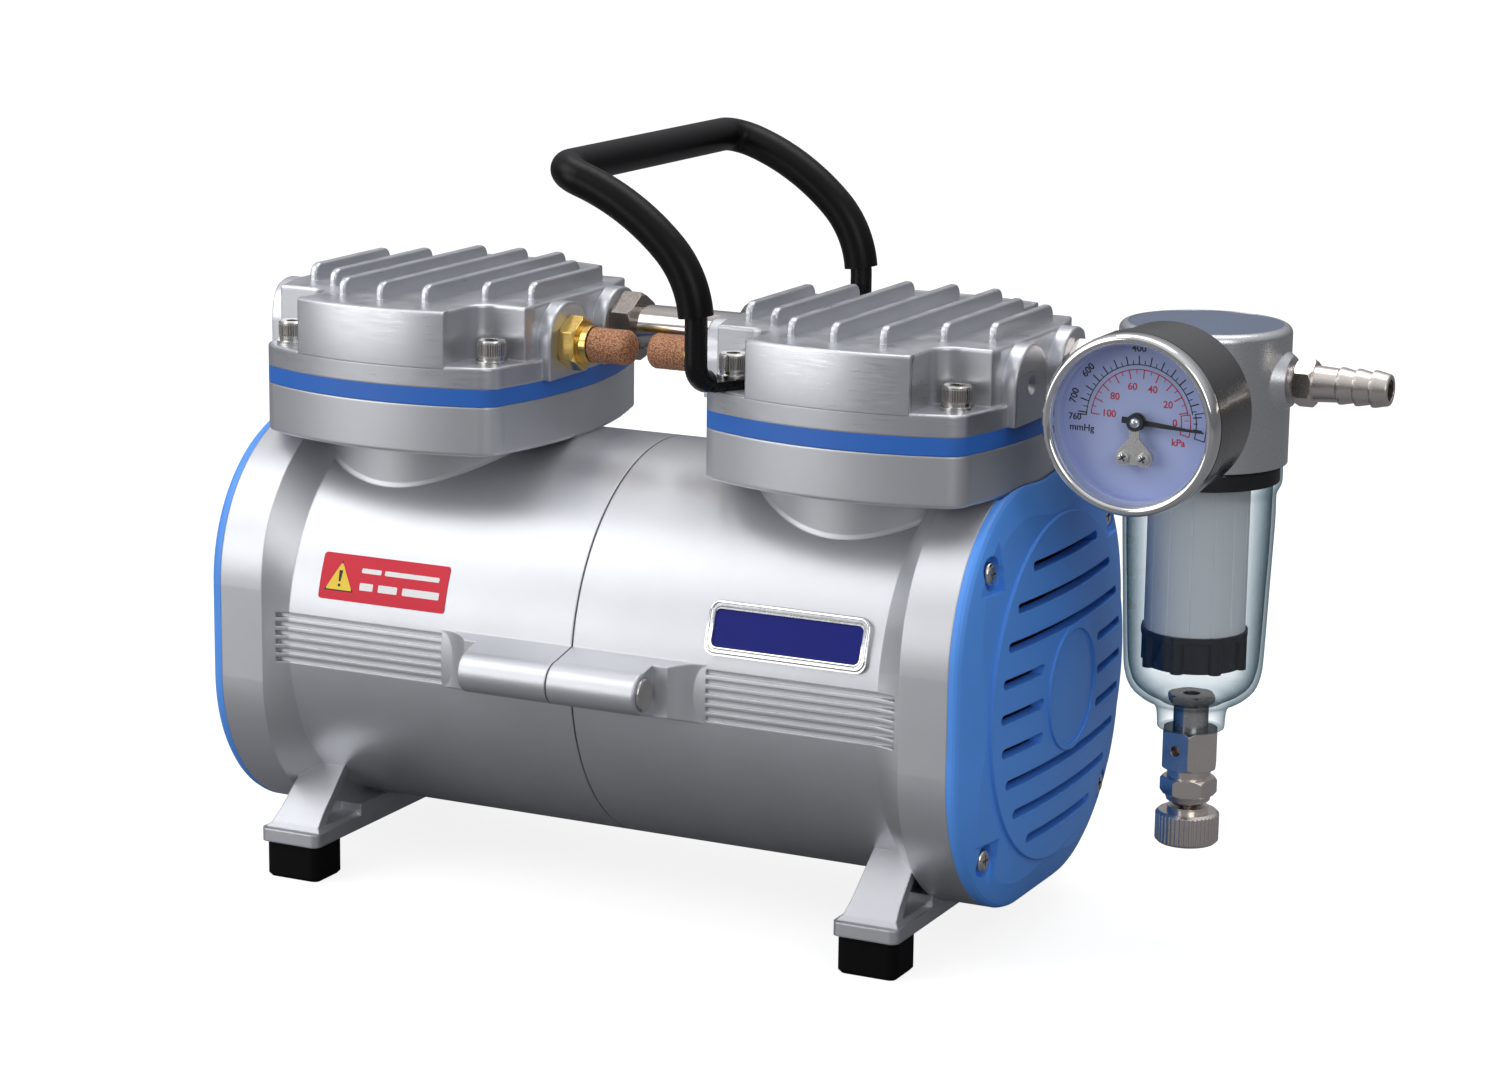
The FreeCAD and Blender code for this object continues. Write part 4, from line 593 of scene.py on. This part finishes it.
# ---- fasteners ------------------------------------------------------------------------------------
SCREW_SPOTS = ((38.6, -43.3), (-33.8, -42.6), (33.8, 42.6), (-38.6, 43.3))
SLEEVE_R = 24.5
HEAD_X = (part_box("cylinder_sleeves")[1].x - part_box("cylinder_sleeves")[0].x) / 2 / MM - SLEEVE_R
SCREW_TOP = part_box("head_screws")[1].z / MM
STRAP_RAISE = 3.0
KNURLS = 36


def head_screws():
    """Axis and top height of each head screw; the two over the handle's straps stand higher."""
    for cx in (-HEAD_X, HEAD_X):
        for dx, dy in SCREW_SPOTS:
            strapped = cx > 0 and dx < 0
            yield cx + dx, dy, SCREW_TOP - (0.0 if strapped else STRAP_RAISE)


knurl = bmesh.new()
for x, y, top in head_screws():
    for k in range(KNURLS):
        a = 2 * math.pi * k / KNURLS
        out = Vector((math.cos(a), math.sin(a), 0))
        side = Vector((-math.sin(a), math.cos(a), 0))
        c = Vector((x, y, top - 4.7)) + out * 4.22
        corners = [(c - side * 0.2) * MM, (c + side * 0.2) * MM, (c + side * 0.09 + out * 0.2) * MM,
                   (c - side * 0.09 + out * 0.2) * MM]
        slab(knurl, corners, (0, 0, 3.9 * MM))
make("head_screw_knurls", knurl, "screw", "pump_body", 0)
# dark ring behind the knurls, so that only the ridge tips stand out bright: painted shade in the knurl
# grooves
flanks = bmesh.new()
for x, y, top in head_screws():
    lathe([(4.1, top - 4.5), (4.33, top - 4.5), (4.33, top - 0.95), (4.1, top - 0.95)], (x * MM, y * MM, 0),
          (0, 0, 1), 48, flanks)
make("head_screw_groove_shade", flanks, "dark_nickel_and_groove_shade", "pump_body", 30)


def thread(origin, axis, radius, start, turns, pitch, height):
    """Raised helical ridge on a shank, running out at both ends."""
    bm = bmesh.new()
    rot = turn_to(axis)
    steps, fade_steps = 28, 8.0
    rows = []
    for i in range(int(turns * steps) + 1):
        a = 2 * math.pi * i / steps
        z = start + pitch * i / steps
        fade = min(1.0, i / fade_steps, (turns * steps - i) / fade_steps + 0.05)
        row = []
        for dr, dz in ((-0.15, -0.42), (height * fade, -0.08), (height * fade, 0.08), (-0.15, 0.42)):
            row.append(bm.verts.new(rot @ Vector(((radius + dr) * math.cos(a), (radius + dr) * math.sin(a),
                                                  z + dz * pitch)) * MM + Vector(origin)))
        rows.append(row)
    loft(bm, rows)
    return bm


barb_foot = (BARB_LOW.x, (BARB_HIGH.y + BARB_LOW.y) / 2, (BARB_HIGH.z + BARB_LOW.z) / 2)
ridge = thread(barb_foot, (1, 0, 0), radius=4.8, start=9.0, turns=1.4, pitch=1.1, height=0.35)
make("nipple_thread", ridge, "nickel", "pump_body", 30)

# ---- front and rear faces of the heads, flush with the flange below --------------------------------
FACE_X0, FACE_X1, FACE_STEPS = -24.0, 29.4, 48
FACE_Z0, FACE_Z1 = 167.8, 185.4
FRONT_POINTS = ((-36.8, -49.7), (2.0, -59.6), (38.8, -54.0))
FACE_SECTION = [(0.0, FACE_Z0), (0.0, FACE_Z1 - 1.0), (0.08, FACE_Z1 - 0.6), (0.3, FACE_Z1 - 0.28),
                (0.62, FACE_Z1 - 0.06), (1.0, FACE_Z1 + 0.02), (3.2, FACE_Z1 + 0.02), (3.2, FACE_Z1 - 1.0),
                (1.9, FACE_Z1 - 2.0), (1.9, FACE_Z0)]


def face_curve(x):
    """Plan curve of a head's front: the circle through three points of its outline."""
    (ax, ay), (bx, by), (cx, cy) = FRONT_POINTS
    d = 2 * (ax * (by - cy) + bx * (cy - ay) + cx * (ay - by))
    sa, sb, sc = ax * ax + ay * ay, bx * bx + by * by, cx * cx + cy * cy
    ux = (sa * (by - cy) + sb * (cy - ay) + sc * (ay - by)) / d
    uy = (sa * (cx - bx) + sb * (ax - cx) + sc * (bx - ax)) / d
    return uy - math.sqrt((ax - ux) ** 2 + (ay - uy) ** 2 - (x - ux) ** 2)


def face_skin(bm, cx, turn):
    """Curved face on the front of a head, or on its rear when turn is -1."""
    rows = []
    for i in range(FACE_STEPS + 1):
        x = FACE_X0 + (FACE_X1 - FACE_X0) * i / FACE_STEPS
        y = face_curve(x)
        rows.append([bm.verts.new(Vector((cx + turn * x, turn * (y + d), z)) * MM) for d, z in FACE_SECTION])
    loft(bm, rows)


for side, name in ((-1, "left"), (1, "right")):
    faces = bmesh.new()
    for turn in (-1, 1):
        face_skin(faces, side * HEAD_X, turn)
    make(name + "_head_faces", faces, "silver_head", "pump_body", 40)

# ---- skirts below the decks, blended into the barrel ------------------------------------------------
NECK_R, NECK_WALL, BLEND, STEPS = 41.5, 2, 0.95, 80
SKIRT_TOP = 140.97
SKIRT_ARC = (14, 152)
BLEND_ARC = (24, 132)


def skirt_wall(bm, cx, front):
    """Upright wall between the barrel and the underside of a deck."""
    rows = []
    for i in range(STEPS + 1):
        a = math.radians(SKIRT_ARC[0] + SKIRT_ARC[1] * i / STEPS) * front
        foot = BARREL.z / MM + math.sqrt(BARREL_R ** 2 - (NECK_R * math.sin(a)) ** 2) - 0.3
        foot = min(foot, SKIRT_TOP - 0.3)
        inside = NECK_R - NECK_WALL
        rows.append([bm.verts.new(Vector((cx + r * math.cos(a), r * math.sin(a), z)) * MM)
                     for r, z in ((NECK_R, foot), (NECK_R, SKIRT_TOP), (inside, SKIRT_TOP), (inside, foot))])
    loft(bm, rows)


def blend_strip(bm, cx, front):
    """Concave bead along the curve where a skirt meets the barrel."""
    up = Vector((0, 0, 1))
    rows = []
    for i in range(STEPS + 1):
        a = math.radians(BLEND_ARC[0] + BLEND_ARC[1] * i / STEPS) * front
        out = Vector((math.cos(a), math.sin(a), 0))
        y = NECK_R * math.sin(a)
        rise = math.sqrt(BARREL_R ** 2 - y ** 2)
        base = Vector((cx + NECK_R * math.cos(a), y, BARREL.z / MM + rise))
        down = Vector((out.x, out.y, -y / rise * math.sin(a))).normalized()
        row = [base - out * 0.3 - up * 0.3, base + up * BLEND - out * 0.03]
        for t in (0.25, 0.5, 0.75):
            row.append(base + up * (BLEND * (1 - t) ** 2) + down * (BLEND * t ** 2))
        row.append(base + down * BLEND - up * 0.03)
        rows.append([bm.verts.new(p * MM) for p in row])
    loft(bm, rows)


for side, name in ((-1, "left"), (1, "right")):
    skirt = bmesh.new()
    for front in (-1, 1):
        skirt_wall(skirt, side * HEAD_X, front)
        blend_strip(skirt, side * HEAD_X, front)
    make(name + "_neck_skirt", skirt, "silver", "pump_body", 50)


# ---- plates and labels on the barrel -------------------------------------------------------------
def on_barrel(x, s, lift):
    """Point at x and at arc length s above the axis height, lifted off the barrel, in millimetres."""
    a = s / BARREL_R
    r = BARREL_R + lift
    return Vector((x, -r * math.cos(a), BARREL.z / MM + r * math.sin(a))) * MM


def barrel_patch(bm, outline, lift, thick, strips=8):
    """Thin plate bent over the barrel from a flat (x, s) polygon, cut in strips."""
    ss = [p[1] for p in outline]
    low, height = min(ss), max(ss) - min(ss)
    levels = sorted({round(low + height * i / strips, 4) for i in range(strips + 1)} | set(ss))
    for s0, s1 in zip(levels[:-1], levels[1:]):
        if s1 - s0 < 1e-4:
            continue
        spans = []
        for s in (s0 + 1e-5, s1 - 1e-5):
            xs = []
            for (xa, sa), (xb, sb) in zip(outline, outline[1:] + outline[:1]):
                if (sa - s) * (sb - s) < 0:
                    xs.append(xa + (xb - xa) * (s - sa) / (sb - sa))
            spans.append((min(xs), max(xs)))
        (a0, a1), (b0, b1) = spans
        quad = ((a0, s0), (a1, s0), (b1, s1), (b0, s1))
        prism(bm, [on_barrel(x, s, lift) for x, s in quad], [on_barrel(x, s, lift + thick) for x, s in quad])


def round_rect(x0, x1, s0, s1, r, n):
    pts = []
    for cx, cs, q in ((x1 - r, s1 - r, 0), (x0 + r, s1 - r, 1), (x0 + r, s0 + r, 2), (x1 - r, s0 + r, 3)):
        for i in range(n + 1):
            a = math.pi / 2 * (q + i / n)
            pts.append((cx + r * math.cos(a), cs + r * math.sin(a)))
    return pts


def bead(bm, path, lift, half_w, height):
    """Rounded raised line following a closed (x, s) path over the barrel."""
    rows = []
    for i, (x, s) in enumerate(path):
        px, ps = path[i - 1]
        nx, ns = path[(i + 1) % len(path)]
        t = Vector((nx - px, ns - ps)).normalized()
        row = []
        for w, h in ((-1, 0), (-0.8, 0.6), (-0.3, 1), (0.3, 1), (0.8, 0.6), (1, 0)):
            row.append(bm.verts.new(on_barrel(x - t.y * w * half_w, s + t.x * w * half_w, lift + h * height)))
        rows.append(row)
    loft(bm, rows, ring=True)


def arc_length(z):
    return BARREL_R * math.asin((z - BARREL.z / MM) / BARREL_R)


plate_low, plate_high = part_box("nameplate_frame")
PLATE_X0, PLATE_X1 = plate_low.x / MM, plate_high.x / MM
PLATE_S0, PLATE_S1 = arc_length(92.0), arc_length(106.2)
lines = bmesh.new()
outer_rim = round_rect(PLATE_X0 + 0.75, PLATE_X1 - 0.75, PLATE_S0 + 0.2, PLATE_S1 - 0.05, 2.8, 8)
inner_rim = round_rect(PLATE_X0 + 2.0, PLATE_X1 - 2.0, PLATE_S0 + 1.45, PLATE_S1 - 1.3, 2.0, 8)
bead(lines, outer_rim, 1.25, 0.55, 0.30)
bead(lines, inner_rim, 0.75, 0.45, 0.75)
make("nameplate_beads", lines, "chrome", "pump_body", 45)

LABEL_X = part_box("caution_label")[0].x / MM
LABEL_MID = (arc_length(92.8) + arc_length(106.3)) / 2
PRINT_LIFT, MARK_LIFT = 0.25, 0.30


def on_label(points):
    """Points counted from the label's left edge and its middle line."""
    return [(LABEL_X + x, LABEL_MID + s) for x, s in points]


def label_bar(x0, x1, s0, s1, r):
    return round_rect(LABEL_X + x0, LABEL_X + x1, LABEL_MID + s0, LABEL_MID + s1, r, 3)


triangle = on_label([(2.2, -4.4), (12.0, -4.4), (7.1, 4.6)])
sign = bmesh.new()
barrel_patch(sign, triangle, PRINT_LIFT, 0.05)
make("caution_triangle", sign, "label_yellow", "pump_body", 0)
mark = bmesh.new()
bead(mark, triangle, MARK_LIFT, 0.38, 0.03)
barrel_patch(mark, on_label([(6.75, -1.6), (7.45, -1.6), (7.75, 1.9), (6.45, 1.9)]), MARK_LIFT, 0.04)
barrel_patch(mark, label_bar(6.6, 7.6, -3.2, -2.3, 0.4), MARK_LIFT, 0.04)
make("caution_mark", mark, "ink_black_and_slot_shade", "pump_body", 0)
bars = bmesh.new()
for middle, half, runs in ((2.6, 0.75, ((14.5, 21.5), (22.8, 42.3))),
                           (-2.4, 1.15, ((14.5, 19.3), (21.2, 28.0), (29.9, 43.0)))):
    for x0, x1 in runs:
        barrel_patch(bars, label_bar(x0, x1, middle - half, middle + half, 0.35), PRINT_LIFT, 0.05)
make("caution_bars", bars, "label_white", "pump_body", 0)


# ---- studio ---------------------------------------------------------------------------------------
def area(name, place, target, size, power):
    light = bpy.data.lights.new(name, "AREA")
    light.shape = "RECTANGLE"
    light.size, light.size_y = size
    light.energy = power
    obj = bpy.data.objects.new(name, light)
    bpy.context.scene.collection.objects.link(obj)
    obj.location = place
    obj.rotation_mode = "QUATERNION"
    obj.rotation_quaternion = (Vector(target) - Vector(place)).to_track_quat("-Z", "Y")


def split_by_ray(tree, others, seen, target):
    """One shader for what the camera sees directly and another for all other rays."""
    path = tree.nodes.new("ShaderNodeLightPath")
    pick = tree.nodes.new("ShaderNodeMixShader")
    tree.links.new(path.outputs["Is Camera Ray"], pick.inputs["Fac"])
    tree.links.new(others, pick.inputs[1])
    tree.links.new(seen, pick.inputs[2])
    tree.links.new(pick.outputs["Shader"], target)


area("key", (-0.95, -0.75, 1.20), (0, 0, 0.1), (1.0, 1.0), 8)
area("front", (-1.25, -1.7, 0.42), (0, 0, 0.08), (1.4, 0.9), 11)
area("right", (1.1, -1.0, 0.75), (0.1, 0, 0.08), (0.7, 0.9), 4.5)
area("top", (0.0, 0.35, 1.45), (0.0, 0, 0.1), (1.2, 0.8), 8)

world = bpy.data.worlds.new("studio")
world.use_nodes = True
sky = world.node_tree
glow = sky.nodes["Background"]
coord = sky.nodes.new("ShaderNodeTexCoord")
split = sky.nodes.new("ShaderNodeSeparateXYZ")
sky.links.new(coord.outputs["Generated"], split.inputs["Vector"])
sky.links.new(ramp(sky, split.outputs["Z"], 0.1, 0.95, (0.15, 0.155, 0.165), (0.80, 0.81, 0.84)),
              glow.inputs["Color"])
plain = sky.nodes.new("ShaderNodeBackground")
plain.inputs["Color"].default_value = (0.98, 0.98, 0.98, 1)
split_by_ray(sky, glow.outputs["Background"], plain.outputs["Background"],
             sky.nodes["World Output"].inputs["Surface"])
bpy.context.scene.world = world
bpy.context.scene.view_settings.view_transform = "Standard"

FLOOR_HALF = 6.0
bm = bmesh.new()
bmesh.ops.create_grid(bm, x_segments=2, y_segments=2, size=FLOOR_HALF)
floor_mesh = bpy.data.meshes.new("floor")
bm.to_mesh(floor_mesh)
bm.free()
floor = bpy.data.objects.new("floor", floor_mesh)
bpy.context.scene.collection.objects.link(floor)
floor_mat, tree, bsdf = new_material("floor_pale")
bsdf.inputs["Base Color"].default_value = (0.17, 0.17, 0.178, 1)
bsdf.inputs["Roughness"].default_value = 0.8
pale = tree.nodes.new("ShaderNodeBsdfPrincipled")
pale.inputs["Base Color"].default_value = (0.30, 0.30, 0.30, 1)
pale.inputs["Roughness"].default_value = 1.0
pale.inputs["Specular IOR Level"].default_value = 0.0
pale.inputs["Emission Color"].default_value = (1, 1, 1, 1)
pale.inputs["Emission Strength"].default_value = 0.84
split_by_ray(tree, bsdf.outputs["BSDF"], pale.outputs["BSDF"],
             tree.nodes["Material Output"].inputs["Surface"])
floor_mesh.materials.append(floor_mat)

camera = bpy.data.cameras.new("camera")
camera.lens = 90.5
camera.sensor_width = 36.0
camera.clip_start, camera.clip_end = 0.05, 50.0
cam = bpy.data.objects.new("camera", camera)
bpy.context.scene.collection.objects.link(cam)
bpy.context.scene.camera = cam
AZIMUTH, ELEVATION, ROLL = (math.radians(a) for a in (26.01, 12.42, 0.73))
EYE = Vector((0.5322, -1.0315, 0.3669))
back = Vector((math.sin(AZIMUTH) * math.cos(ELEVATION), -math.cos(AZIMUTH) * math.cos(ELEVATION),
               math.sin(ELEVATION)))
level = Vector((math.cos(AZIMUTH), math.sin(AZIMUTH), 0))
upward = back.cross(level)
right = math.cos(ROLL) * level + math.sin(ROLL) * upward
up = -math.sin(ROLL) * level + math.cos(ROLL) * upward
cam.matrix_world = Matrix(((right.x, up.x, back.x, EYE.x), (right.y, up.y, back.y, EYE.y),
                           (right.z, up.z, back.z, EYE.z), (0, 0, 0, 1)))
